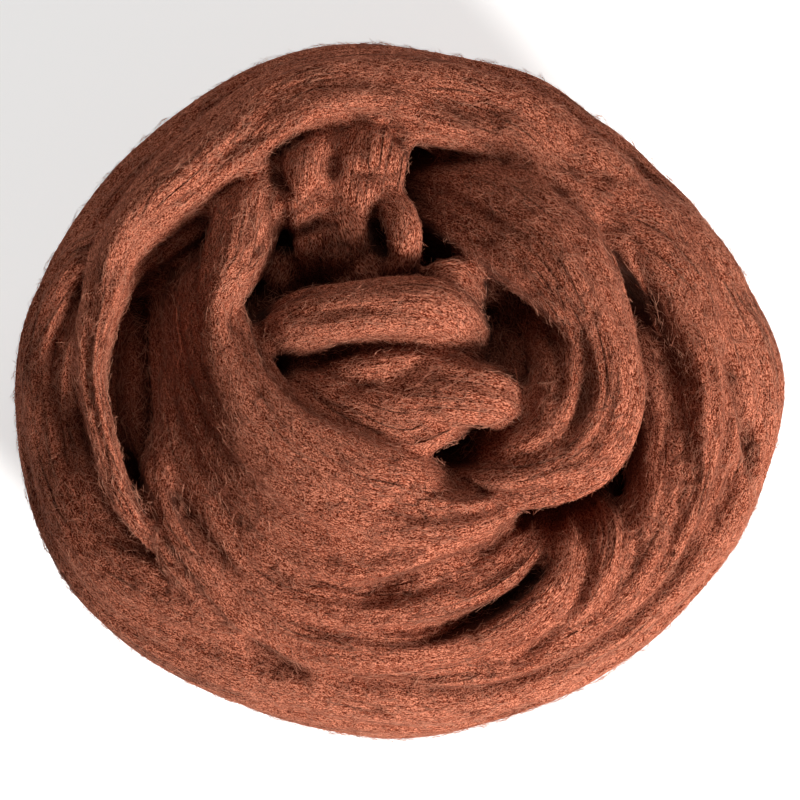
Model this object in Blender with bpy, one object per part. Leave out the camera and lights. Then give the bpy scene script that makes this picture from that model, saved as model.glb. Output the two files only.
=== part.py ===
"""Wool roving: one long strand of combed wool, wound by hand into a loose ball.

The ball is one solid. Its turns and folds are swept from the tables below,
joined into one skin, and cut flat where the ball rests.
Run with: blender --background --python part.py
"""
import math

import bmesh
import bpy
import numpy as np
from mathutils import Vector

MM = 0.001                      # the tables are in millimetres and degrees

# ---- driving dimensions: the form that the strand is wound on, in millimetres
HALF_LENGTH = 104.5             # along X
HALF_WIDTH = 94.0               # along Y
EQUATOR = 47.0                  # height of the widest level above the table
CROWN = 53.0                    # from the widest level to the top
BELLY = 52.0                    # from the widest level down, before the foot is cut
ROUNDNESS = 2.3                 # 2 is an ellipsoid, more is squarer

CORE_INSET = 27.0               # the packed middle lies this far below the form
CORE_TOP = 26.0                 # and reaches this far above the widest level
HOLLOW = (22.0, 14.0)           # but dips in the hollow, here in plan,
HOLLOW_DEPTH = 38.0             # by this much
HOLLOW_REACH = 30.0             # and this far round

STEP = 4.0                      # between rings along a strand
SIDES = 20                      # points around a strand
VOXEL = 2.0                     # cell of the joined skin
SMOOTHING = 3                   # passes that soften the skin
TRIANGLES = 11800               # of the finished solid

WOOL = (0.335, 0.106, 0.068, 1.0)
WOOL_ROUGHNESS = 0.9

# How far the outline reaches at each azimuth (from +X, counter-clockwise),
# as a share of the plain oval.
OUTLINE = (
    # azimuth, reach
    (0, 1.012),
    (16, 0.962),
    (28, 0.942),
    (40, 0.918),
    (53, 0.928),
    (70, 0.972),
    (104, 1.030),
    (138, 0.985),
    (158, 0.985),
    (182, 1.012),
    (212, 1.030),
    (235, 1.012),
    (255, 1.014),
    (272, 1.014),
    (294, 0.996),
    (322, 0.992),
    (340, 1.004),
)

# Whole turns around the ball. Each row is a section of the strand, placed by
# azimuth and latitude on the form and sunk that far below it.
TURNS = {
    "outer_low": (
        # azimuth, latitude, sunk, wide, thick
        (140, 16, 26, 24, 20),
        (158, -2, 3, 25, 28),
        (185, -6, 1, 27, 30),
        (208, 4, 1, 34, 30),
        (232, 17, 0, 38, 29),
        (255, 23, 0, 38, 28),
        (285, 21, 0, 38, 28),
        (330, 21, 0, 38, 28),
        (370, 21, 0, 36, 28),
        (395, 22, 3, 34, 24),
        (425, 30, 18, 28, 20),
    ),
    "outer_high": (
        # azimuth, latitude, sunk, wide, thick, lean
        (246, 32, 26, 10, 14, 0),
        (226, 37, 15, 9, 14, -10),
        (214, 39, 5, 8, 16, -25),
        (204, 39.8, -2, 8, 19, -38),
        (195, 39.3, -4, 8, 22, -42),
        (187, 39, -5, 8.5, 22, -42),
        (179, 37, -5, 8.5, 22, -42),
        (173, 35.7, -5, 10, 22, -42),
        (167, 34.8, -5, 12, 22, -40),
        (160.5, 33.5, -5, 13.5, 23, -36),
        (153.5, 31.6, -5, 15.5, 24, -28),
        (148.5, 30.9, -4, 18, 26, -18),
        (141, 30.5, -2, 22, 27, -8),
        (125, 29, 0, 28, 28, 0),
        (105, 23, 0, 26, 26, 0),
        (80, 22, 0, 24, 26, -6),
        (55, 21, 1, 24, 26, -12),
        (30, 27, 2, 26, 24, -14),
        (12, 34, 1, 19, 20, -14),
        (-4, 37, 0, 13, 18, -10),
        (-15, 35.5, 0, 11, 17, -6),
        (-26, 33, 0, 10, 17, 0),
        (-36, 31, 0, 10, 17, 0),
        (-48, 30, 0, 9, 16, 0),
        (-66, 31, 0, 9, 15, 0),
        (-88, 35, 0, 10, 15, 0),
        (-108, 38, 0, 12, 16, 0),
        (-124, 41, 0, 14, 18, 0),
        (-139, 44, 2, 14, 18, 0),
        (-151, 46, 7, 13, 18, 10),
        (-162, 48, 16, 13, 16, 15),
        (-174, 49, 27, 12, 15, 15),
        (-188, 49, 38, 11, 14, 0),
    ),
    "side_low": (
        (-30, -4, 10, 34, 20),
        (40, -16, 1, 38, 22),
        (130, -26, 0, 38, 22),
        (220, -14, 1, 38, 22),
        (300, -8, 2, 38, 22),
        (360, -20, 5, 36, 20),
        (420, -34, 10, 32, 18),
    ),
    "side_under": (
        (20, -30, 8, 34, 20),
        (100, -40, 3, 38, 20),
        (200, -38, 2, 38, 20),
        (290, -30, 1, 38, 20),
        (380, -38, 4, 36, 20),
        (450, -52, 8, 34, 20),
    ),
    "foot_turn": (
        (0, -56, 2, 40, 22),
        (120, -58, 1, 40, 22),
        (240, -54, 1, 40, 22),
        (365, -60, 3, 40, 22),
    ),
}

# Stretches that cross the top of the ball, and the crumpled folds in its hollow.
# Each row is placed in plan and sunk below the form; lean tips it sideways.
FOLDS = {
    "fan_outer": (
        # x, y, sunk, wide, thick, lean
        (40, 70, 34, 18, 18, 0),
        (57, 53, 25, 20, 20, 0),
        (70, 31, 20, 20, 22, -18),
        (78, 8, 13, 20, 24, -20),
        (80, -10, 10, 19, 24, -18),
        (77.5, -27, 7, 17, 22, -14),
        (72, -41, 3, 15, 20, -6),
        (66, -53, 0.5, 13, 18, 0),
        (56, -63, 0, 12, 16, 0),
        (45, -70, 1, 10, 14, 0),
        (32, -76, 5, 9, 12, 0),
    ),
    "fan_inner": (
        (61, -30, 46, 11, 14, 0),
        (58, -38, 26, 12, 16, 0),
        (57, -46, 4, 12, 19, 0),
        (54, -54, 0, 12, 19, 0),
        (49, -61, 0, 11, 17, 0),
        (42, -67, 2, 9, 14, 0),
        (34, -71, 8, 8, 10, 0),
    ),
    "fan_third": (
        (54, -32, 46, 12, 17, 0),
        (51, -40, 29, 11, 17, 0),
        (47, -48, 7, 12, 20, 0),
        (41, -57, 0, 14, 20, 0),
        (31, -65, 0, 16, 20, 0),
        (16, -71, 0, 14, 20, 0),
        (0, -73, 0, 12, 18, 0),
        (-16, -71, 0, 11, 18, 0),
        (-30, -67, 1, 12, 18, 0),
        (-44, -59, 4, 14, 18, 0),
        (-55, -47, 8, 15, 18, 0),
        (-63, -33, 13, 16, 18, 4),
        (-68, -17, 19, 16, 18, 8),
        (-71, 0, 25, 15, 16, 8),
        (-71, 17, 31, 14, 15, 0),
        (-68, 32, 38, 12, 13, 0),
    ),
    "fan_middle": (
        (51, -29, 48, 13, 16, 0),
        (46, -37, 30, 13, 17, 0),
        (40, -44, 10, 15, 20, 0),
        (28, -52, 1, 17, 21, 6),
        (10, -58, 1, 17, 21, 8),
        (-8, -61, 1, 16, 21, 8),
        (-26, -58, 1, 17, 21, 10),
        (-42, -49, 4, 20, 21, 22),
        (-54, -34, 11, 20, 21, 28),
        (-62, -16, 20, 16, 20, 30),
        (-63, 0, 32, 14, 18, 22),
        (-60, 16, 44, 12, 16, 0),
    ),
    "sweep_low": (
        (42, -26, 48, 12, 17, 0),
        (36, -33, 36, 14, 17, 0),
        (29, -39, 15, 14, 20, 5),
        (20, -42, 3, 15, 20, 12),
        (8, -45, 1, 16, 20, 14),
        (-6, -48, 1, 16, 20, 14),
        (-20, -48, 2, 16, 20, 16),
        (-36, -40, 6, 16, 20, 26),
        (-48, -27, 12, 16, 18, 32),
        (-56, -10, 20, 14, 16, 32),
    ),
    "sweep_body": (
        (35, -31, 42, 12, 17, 0),
        (25, -35.5, 9, 14, 20, 8),
        (10, -37, -1, 21, 22, 20),
        (-6, -36, -2, 30, 24, 22),
        (-26, -30, -1, 38, 25, 24),
        (-42, -17, 5, 42, 25, 34),
        (-54, 0, 13, 44, 24, 40),
        (-60, 18, 17, 34, 22, 40),
        (-61, 34, 19, 27, 20, 32),
        (-54, 52, 24, 20, 16, 10),
    ),
    "sweep_high": (
        (24, -33, 44, 13, 16, 0),
        (15, -32, 26, 15, 17, 8),
        (7, -29, 9, 18, 20, 18),
        (-2, -26.5, -2, 21, 21, 22),
        (-14, -23, -4, 22, 21, 22),
        (-29, -13, -3, 20, 20, 18),
        (-41, -2, 0, 18, 19, 12),
        (-49, 9, 3, 13, 17, 2),
        (-52, 19, 6, 9, 16, -12),
        (-51, 27, 8, 11, 16, -20),
        (-48, 34, 9, 15, 17, -24),
        (-45.5, 41, 9, 17, 18, -24),
        (-43.5, 50, 9, 17, 17, -18),
        (-40.5, 59, 11, 15, 16, -8),
        (-35, 68, 18, 14, 15, 0),
    ),
    "hook": (
        (-3, 86, 36, 24, 16, 0),
        (10, 73, 25, 28, 20, 0),
        (21, 63, 16, 31, 24, 0),
        (32, 52, 8, 32, 26, 0),
        (42, 42, 2.5, 31, 26, 0),
        (50.5, 30.5, 0, 27, 26, 0),
        (57.5, 16, 0.5, 22, 24, 0),
        (60, -2, 0.5, 20, 24, 0),
        (52.5, -17, 1, 23, 23, 0),
        (38.5, -24.5, 5, 20, 20, 0),
        (24, -27, 17, 14, 16, 0),
        (12, -26, 36, 12, 13, 0),
    ),
    "hook_under": (
        (0, 82, 42, 22, 14, 0),
        (12, 67, 31, 26, 16, 0),
        (21, 53, 27, 24, 16, 0),
        (28, 41, 26, 20, 16, 0),
        (35, 29, 28, 18, 16, 0),
        (40, 18, 40, 14, 14, 0),
    ),
    "hook_inner": (
        (36, 36, 36, 18, 16, -20),
        (45, 24, 24, 24, 18, -38),
        (50, 7, 9, 26, 18, -40),
        (44, -9, 6, 24, 18, -34),
        (34, -16, 11, 18, 15, -18),
        (22, -18, 26, 12, 12, 0),
    ),
    "hook_curl": (
        (22, 30, 40, 14, 14, 0),
        (31, 21, 30, 18, 16, -20),
        (38, 8, 23, 20, 16, -30),
        (36, -4, 20, 18, 16, -20),
        (28, -12, 22, 14, 14, 0),
        (17, -14, 30, 12, 12, 0),
    ),
    "middle_upper": (
        (-44, 9, 32, 15, 15, 0),
        (-32, 17, 14, 18, 16, 0),
        (-14, 21, 6, 17, 18, 0),
        (7, 22, 4, 17, 18, 0),
        (18, 18, 11, 16, 16, 0),
        (23, 9, 30, 14, 15, 0),
    ),
    "middle_lower": (
        (-38, -2, 40, 18, 15, 0),
        (-18, 0, 18, 20, 18, 0),
        (2, 0, 8, 20, 18, 6),
        (16, -1, 4, 19, 19, 8),
        (26, -2, 8, 17, 19, 0),
        (31, -5, 28, 14, 15, 0),
    ),
    "middle_body": (
        (-34, 8, 30, 22, 15, 0),
        (-10, 9, 12, 28, 18, 0),
        (10, 10, 11, 26, 18, 0),
        (24, 6, 32, 18, 15, 0),
    ),
    "middle_edge": (
        (-34, 0, 30, 14, 12, 0),
        (-23, -5, 16, 16, 13, 4),
        (-9, -11, 10, 16, 13, 6),
        (3, -13, 7, 14, 13, 8),
        (13, -10, 9, 12, 12, 0),
        (22, -7, 26, 10, 12, 0),
    ),
    "fold_b": (
        (-20, 80, 14, 15, 13, 0),
        (-25, 70, 10, 18, 13, 0),
        (-26.5, 61, 10, 15, 14, 0),
        (-26.5, 54, 14, 13, 13, 0),
        (-27, 46, 28, 10, 12, 0),
    ),
    "fold_bc": (
        (-13, 81, 14, 15, 12, 0),
        (-17, 70, 12, 16, 13, 0),
        (-18, 60, 15, 14, 12, 0),
        (-18, 50, 25, 12, 12, 0),
    ),
    "fold_c": (
        (-6, 82, 15, 20, 12, 0),
        (-7.5, 72, 10, 20, 13, 0),
        (-8.5, 64, 11, 19, 14, 0),
        (-9.5, 57, 15, 18, 13, 0),
        (-11, 49, 28, 15, 12, 0),
    ),
    "fold_d": (
        (-23, 57, 28, 16, 12, 0),
        (-20, 50, 17, 22, 13, 0),
        (-18.5, 45, 16, 23, 13, 0),
        (-18, 39, 24, 21, 12, 0),
        (-16, 32, 38, 18, 12, 0),
    ),
    "fold_e": (
        (-6, 60, 20, 9, 12, 0),
        (-1, 53.5, 14, 9.5, 14, 0),
        (1.2, 45, 12, 10, 16, 0),
        (0.6, 38, 16, 9.5, 14, 0),
        (-1, 30, 34, 8, 12, 0),
    ),
    "fold_f": (
        (-17, 46, 34, 20, 12, 0),
        (-11, 38, 24, 24, 14, 0),
        (-7, 30, 27, 24, 14, 0),
        (-4, 20, 44, 20, 12, 0),
    ),
    "fold_g": (
        (-36, 46, 24, 12, 12, 0),
        (-37, 37, 24, 13, 13, 0),
        (-40, 26, 33, 12, 12, 0),
    ),
    "small_loop": (
        (5, 25, 20, 9, 12, 0),
        (9.5, 33, 12, 10, 15, 0),
        (17, 34, 11, 10, 15, 0),
        (24, 27, 20, 9, 12, 0),
    ),
}


def spline(rows, spacing, place):
    """Smooth samples through the rows, about the given spacing apart."""
    knots = np.array(rows, dtype=float)
    padded = np.vstack([2 * knots[0] - knots[1], knots, 2 * knots[-1] - knots[-2]])
    samples = []
    for k in range(1, len(padded) - 2):
        p0, p1, p2, p3 = padded[k - 1:k + 3]
        length = np.linalg.norm(place(p2) - place(p1))
        count = max(2, round(length / spacing))
        for t in np.arange(count) / count:
            samples.append(0.5 * (2 * p1 + (p2 - p0) * t
                                  + (2 * p0 - 5 * p1 + 4 * p2 - p3) * t ** 2
                                  + (3 * p1 - p0 - 3 * p2 + p3) * t ** 3))
    samples.append(knots[-1])
    return np.array(samples)


def outline_reach(azimuth):
    """Share of the plain oval that the outline reaches at this azimuth."""
    angles = [row[0] for row in OUTLINE] + [OUTLINE[0][0] + 360]
    reaches = [row[1] for row in OUTLINE] + [OUTLINE[0][1]]
    azimuth %= 360
    k = max(i for i in range(len(OUTLINE)) if angles[i] <= azimuth)
    t = (azimuth - angles[k]) / (angles[k + 1] - angles[k])
    ease = t * t * (3 - 2 * t)
    return reaches[k] + (reaches[k + 1] - reaches[k]) * ease


def on_turn(row):
    """Point of the form at a row's azimuth and latitude."""
    azimuth, latitude = math.radians(row[0]), math.radians(row[1])
    reach = math.cos(latitude) ** (2 / ROUNDNESS)
    reach *= outline_reach(math.degrees(math.atan2(HALF_WIDTH * math.sin(azimuth),
                                                   HALF_LENGTH * math.cos(azimuth))))
    rise = abs(math.sin(latitude)) ** (2 / ROUNDNESS)
    height = CROWN * rise if latitude > 0 else -BELLY * rise
    return np.array([HALF_LENGTH * reach * math.cos(azimuth),
                     HALF_WIDTH * reach * math.sin(azimuth), EQUATOR + height])


def on_top(row):
    """Point of the form straight above a row's place in plan."""
    reach = outline_reach(math.degrees(math.atan2(row[1], row[0])))
    share = math.hypot(row[0] / HALF_LENGTH, row[1] / HALF_WIDTH) / reach
    rise = max(0.0, 1 - min(share, 1.0) ** ROUNDNESS) ** (1 / ROUNDNESS)
    return np.array([row[0], row[1], EQUATOR + CROWN * rise])


def outward(point):
    """Direction straight out of the form at a point."""
    height = CROWN if point[2] > EQUATOR else BELLY
    share = np.array([point[0] / HALF_LENGTH, point[1] / HALF_WIDTH, (point[2] - EQUATOR) / height])
    size = np.array([HALF_LENGTH, HALF_WIDTH, height])
    slope = np.sign(share) * np.abs(share) ** (ROUNDNESS - 1) / size
    return slope / np.linalg.norm(slope)


def sections(rows, place):
    """Centres, outward directions and sizes of a strand's sections."""
    samples = spline(rows, STEP, place)
    first_size = 2                              # columns: place, place, sunk, wide, thick, lean
    surface = np.array([place(row) for row in samples])
    out = np.array([outward(point) for point in surface])
    sunk, wide, thick = (samples[:, first_size + k] for k in range(3))
    lean = samples[:, 5] if samples.shape[1] > 5 else np.zeros(len(samples))
    centres = surface - out * (sunk + thick / 2)[:, None]
    return centres, out, wide, thick, np.radians(lean)


def sweep(bm, rows, place):
    """Add one strand, oval in section and rounded off at its hidden ends."""
    centres, out, wide, thick, lean = sections(rows, place)
    along = np.gradient(centres, axis=0)
    along /= np.linalg.norm(along, axis=1)[:, None]
    across = np.cross(along, out)
    across /= np.linalg.norm(across, axis=1)[:, None]
    up = np.cross(across, along)
    across, up = (across * np.cos(lean)[:, None] + up * np.sin(lean)[:, None],
                  up * np.cos(lean)[:, None] - across * np.sin(lean)[:, None])
    travelled = np.concatenate([[0], np.cumsum(np.linalg.norm(np.diff(centres, axis=0), axis=1))])
    to_end = np.minimum(travelled, travelled[-1] - travelled) / (thick / 2)
    taper = np.sqrt(1 - (1 - np.clip(to_end, 0.05, 1)) ** 2)
    angles = np.linspace(0, 2 * math.pi, SIDES, endpoint=False)
    rings = []
    for c, a, u, w, t, s in zip(centres, across, up, wide, thick, taper):
        ring = [c + a * (w / 2 * s * math.cos(q)) + u * (t / 2 * s * math.sin(q)) for q in angles]
        rings.append([bm.verts.new(Vector(p) * MM) for p in ring])
    for near, far in zip(rings, rings[1:]):
        for k in range(SIDES):
            j = (k + 1) % SIDES
            bm.faces.new((near[k], near[j], far[j], far[k]))
    bm.faces.new(rings[0][::-1])
    bm.faces.new(rings[-1])


def add_core(bm):
    """Add the packed middle that the turns are wound on, dented under the hollow."""
    sphere = bmesh.ops.create_uvsphere(bm, u_segments=48, v_segments=24, radius=1.0)
    for vert in sphere["verts"]:
        x, y = vert.co.x * (HALF_LENGTH - CORE_INSET), vert.co.y * (HALF_WIDTH - CORE_INSET)
        from_hollow = math.hypot(x - HOLLOW[0], y - HOLLOW[1])
        top = CORE_TOP - HOLLOW_DEPTH * math.exp(-(from_hollow / HOLLOW_REACH) ** 2)
        height = top if vert.co.z > 0 else BELLY
        vert.co = Vector((x, y, EQUATOR + vert.co.z * height)) * MM


def wound_strands():
    """Mesh of every turn and fold, still crossing each other."""
    bm = bmesh.new()
    for rows in TURNS.values():
        sweep(bm, rows, on_turn)
    for rows in FOLDS.values():
        sweep(bm, rows, on_top)
    add_core(bm)
    bmesh.ops.recalc_face_normals(bm, faces=bm.faces)
    mesh = bpy.data.meshes.new("strands")
    bm.to_mesh(mesh)
    bm.free()
    return mesh


def evaluated_mesh(obj):
    """Plain mesh of an object as its modifiers leave it."""
    graph = bpy.context.evaluated_depsgraph_get()
    return bpy.data.meshes.new_from_object(obj.evaluated_get(graph))


def joined_skin(mesh):
    """One soft closed skin around all the strands."""
    obj = bpy.data.objects.new("skin", mesh)
    bpy.context.scene.collection.objects.link(obj)
    remesh = obj.modifiers.new("join", "REMESH")
    remesh.mode = "VOXEL"
    remesh.voxel_size = VOXEL * MM
    smooth = obj.modifiers.new("soften", "SMOOTH")
    smooth.factor = 0.5
    smooth.iterations = SMOOTHING
    skin = evaluated_mesh(obj)
    bpy.data.objects.remove(obj)
    return skin


def keep_outer_shell(bm):
    """Remove the shells of any pockets closed in between the strands."""
    unseen = set(bm.verts)
    shells = []
    while unseen:
        queue = [unseen.pop()]
        shell = list(queue)
        while queue:
            for edge in queue.pop().link_edges:
                for vert in edge.verts:
                    if vert in unseen:
                        unseen.remove(vert)
                        queue.append(vert)
                        shell.append(vert)
        shells.append(shell)
    shells.sort(key=len)
    for shell in shells[:-1]:
        bmesh.ops.delete(bm, geom=shell, context="VERTS")


def cut_foot(bm):
    """Cut the skin flat at the table and close the cut."""
    geometry = bm.verts[:] + bm.edges[:] + bm.faces[:]
    cut = bmesh.ops.bisect_plane(bm, geom=geometry, dist=1e-6, plane_co=(0, 0, 0),
                                 plane_no=(0, 0, 1), clear_inner=True)
    rim = [item for item in cut["geom_cut"] if isinstance(item, bmesh.types.BMEdge)]
    bmesh.ops.contextual_create(bm, geom=rim)
    bmesh.ops.triangulate(bm, faces=bm.faces[:])


def thin_out(mesh):
    """Fewer triangles for the same skin."""
    obj = bpy.data.objects.new("thin", mesh)
    bpy.context.scene.collection.objects.link(obj)
    mesh.calc_loop_triangles()
    decimate = obj.modifiers.new("thin", "DECIMATE")
    decimate.ratio = TRIANGLES / len(mesh.loop_triangles)
    thinned = evaluated_mesh(obj)
    bpy.data.objects.remove(obj)
    return thinned


def edited(mesh, *edits):
    """The mesh after the given bmesh edits."""
    bm = bmesh.new()
    bm.from_mesh(mesh)
    for edit in edits:
        edit(bm)
    bm.to_mesh(mesh)
    bm.free()
    return mesh


def wool_material():
    """Matt red-brown wool."""
    material = bpy.data.materials.new("wool")
    material.use_nodes = True
    shader = material.node_tree.nodes["Principled BSDF"]
    shader.inputs["Base Color"].default_value = WOOL
    shader.inputs["Roughness"].default_value = WOOL_ROUGHNESS
    shader.inputs["Metallic"].default_value = 0.0
    return material


def build():
    """Make the roving ball as one object."""
    for obj in list(bpy.data.objects):
        bpy.data.objects.remove(obj)
    skin = edited(joined_skin(wound_strands()), keep_outer_shell)
    ball = edited(thin_out(skin), cut_foot)
    ball.name = "roving_ball"
    ball.materials.clear()
    ball.materials.append(wool_material())
    ball.shade_smooth()
    obj = bpy.data.objects.new("roving_ball", ball)
    bpy.context.scene.collection.objects.link(obj)


if __name__ == "__main__":
    build()
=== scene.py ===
"""Wool roving: one long strand of combed wool, wound by hand into a loose ball.

The strand's turns and folds are swept along the same routes as the solid's, with
their pleats, ridges and combed grain, and dressed with loose fibres.
"""

import math

import bmesh
import bpy
import numpy as np
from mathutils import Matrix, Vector
from mathutils.bvhtree import BVHTree


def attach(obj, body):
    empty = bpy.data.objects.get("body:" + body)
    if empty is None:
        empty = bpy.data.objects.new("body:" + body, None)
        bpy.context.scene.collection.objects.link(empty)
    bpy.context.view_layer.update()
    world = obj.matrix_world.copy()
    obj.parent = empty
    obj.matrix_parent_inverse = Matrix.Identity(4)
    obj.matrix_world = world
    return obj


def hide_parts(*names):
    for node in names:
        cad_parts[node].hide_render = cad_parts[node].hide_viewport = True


bl_info = {
    "name": "Wool Roving Ball",
    "version": (1, 0, 0),
    "blender": (4, 5, 0),
    "location": "View3D > Sidebar > Roving",
    "description": "Builds a loose ball of combed wool roving with its fibres",
    "category": "Add Mesh",
}

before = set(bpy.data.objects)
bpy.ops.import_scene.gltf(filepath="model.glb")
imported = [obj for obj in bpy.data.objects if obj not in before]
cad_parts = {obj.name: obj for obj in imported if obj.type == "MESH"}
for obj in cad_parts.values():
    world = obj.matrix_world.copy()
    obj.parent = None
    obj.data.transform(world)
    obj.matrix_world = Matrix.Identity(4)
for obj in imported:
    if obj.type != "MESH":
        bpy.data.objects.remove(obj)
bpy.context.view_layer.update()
NODE = "roving_ball"
MM = 0.001                      # the tables are in millimetres and degrees

# ---- the form that the strand is wound on, in millimetres, as in the solid
HALF_LENGTH = 104.5             # along X
HALF_WIDTH = 94.0               # along Y
EQUATOR = 47.0                  # height of the widest level above the table
CROWN = 53.0                    # from the widest level to the top
BELLY = 52.0                    # from the widest level down, before the foot
ROUNDNESS = 2.3                 # 2 is an ellipsoid, more is squarer
CORE_INSET = 27.0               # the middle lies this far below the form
CORE_TOP = 26.0                 # and reaches this far above the widest level
HOLLOW = (22.0, 14.0)           # but dips in the hollow, here in plan,
HOLLOW_DEPTH = 38.0             # by this much
HOLLOW_REACH = 30.0             # and this far round

# How far the outline reaches at each azimuth (from +X, counter-clockwise),
# as a share of the plain oval.
OUTLINE = (
    # azimuth, reach
    (0, 1.012),
    (16, 0.962),
    (28, 0.942),
    (40, 0.918),
    (53, 0.928),
    (70, 0.972),
    (104, 1.030),
    (138, 0.985),
    (158, 0.985),
    (182, 1.012),
    (212, 1.030),
    (235, 1.012),
    (255, 1.014),
    (272, 1.014),
    (294, 0.996),
    (322, 0.992),
    (340, 1.004),
)

ANGLES = [row[0] for row in OUTLINE] + [OUTLINE[0][0] + 360]
REACHES = [row[1] for row in OUTLINE] + [OUTLINE[0][1]]

# Whole turns around the ball. Each row is a section of the strand, placed by
# azimuth and latitude on the form and sunk that far below it. Every table here has
# the columns azimuth, latitude, sunk, wide, thick and, where it isn't 0, lean.
TURNS = {
    "outer_low": (
        # azimuth, latitude, sunk, wide, thick
        (140, 16, 26, 24, 20),
        (158, -2, 3, 25, 28),
        (185, -6, 1, 27, 30),
        (208, 4, 1, 34, 30),
        (232, 17, 0, 38, 29),
        (255, 23, 0, 38, 28),
        (285, 21, 0, 38, 28),
        (330, 21, 0, 38, 28),
        (370, 21, 0, 36, 28),
        (395, 22, 3, 34, 24),
        (425, 30, 18, 28, 20),
    ),
    "outer_high": (
        # azimuth, latitude, sunk, wide, thick, lean
        (246, 32, 26, 10, 14, 0),
        (226, 37, 15, 9, 14, -10),
        (214, 39, 5, 8, 16, -25),
        (204, 39.8, -2, 8, 19, -38),
        (195, 39.3, -4, 8, 22, -42),
        (187, 39, -5, 8.5, 22, -42),
        (179, 37, -5, 8.5, 22, -42),
        (173, 35.7, -5, 10, 22, -42),
        (167, 34.8, -5, 12, 22, -40),
        (160.5, 33.5, -5, 13.5, 23, -36),
        (153.5, 31.6, -5, 15.5, 24, -28),
        (148.5, 30.9, -4, 18, 26, -18),
        (141, 30.5, -2, 22, 27, -8),
        (125, 29, 0, 28, 28, 0),
        (105, 23, 0, 26, 26, 0),
        (80, 22, 0, 24, 26, -6),
        (55, 21, 1, 24, 26, -12),
        (30, 27, 2, 26, 24, -14),
        (12, 34, 1, 19, 20, -14),
        (-4, 37, 0, 13, 18, -10),
        (-15, 35.5, 0, 11, 17, -6),
        (-26, 33, 0, 10, 17, 0),
        (-36, 31, 0, 10, 17, 0),
        (-48, 30, 0, 9, 16, 0),
        (-66, 31, 0, 9, 15, 0),
        (-88, 35, 0, 10, 15, 0),
        (-108, 38, 0, 12, 16, 0),
        (-124, 41, 0, 14, 18, 0),
        (-139, 44, 2, 14, 18, 0),
        (-151, 46, 7, 13, 18, 10),
        (-162, 48, 16, 13, 16, 15),
        (-174, 49, 27, 12, 15, 15),
        (-188, 49, 38, 11, 14, 0),
    ),
    "side_low": (
        (-30, -4, 10, 34, 20),
        (40, -16, 1, 38, 22),
        (130, -26, 0, 38, 22),
        (220, -14, 1, 38, 22),
        (300, -8, 2, 38, 22),
        (360, -20, 5, 36, 20),
        (420, -34, 10, 32, 18),
    ),
    "side_under": (
        (20, -30, 8, 34, 20),
        (100, -40, 3, 38, 20),
        (200, -38, 2, 38, 20),
        (290, -30, 1, 38, 20),
        (380, -38, 4, 36, 20),
        (450, -52, 8, 34, 20),
    ),
    "foot_turn": (
        (0, -56, 2, 40, 22),
        (120, -58, 1, 40, 22),
        (240, -54, 1, 40, 22),
        (365, -60, 3, 40, 22),
    ),
}

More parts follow.
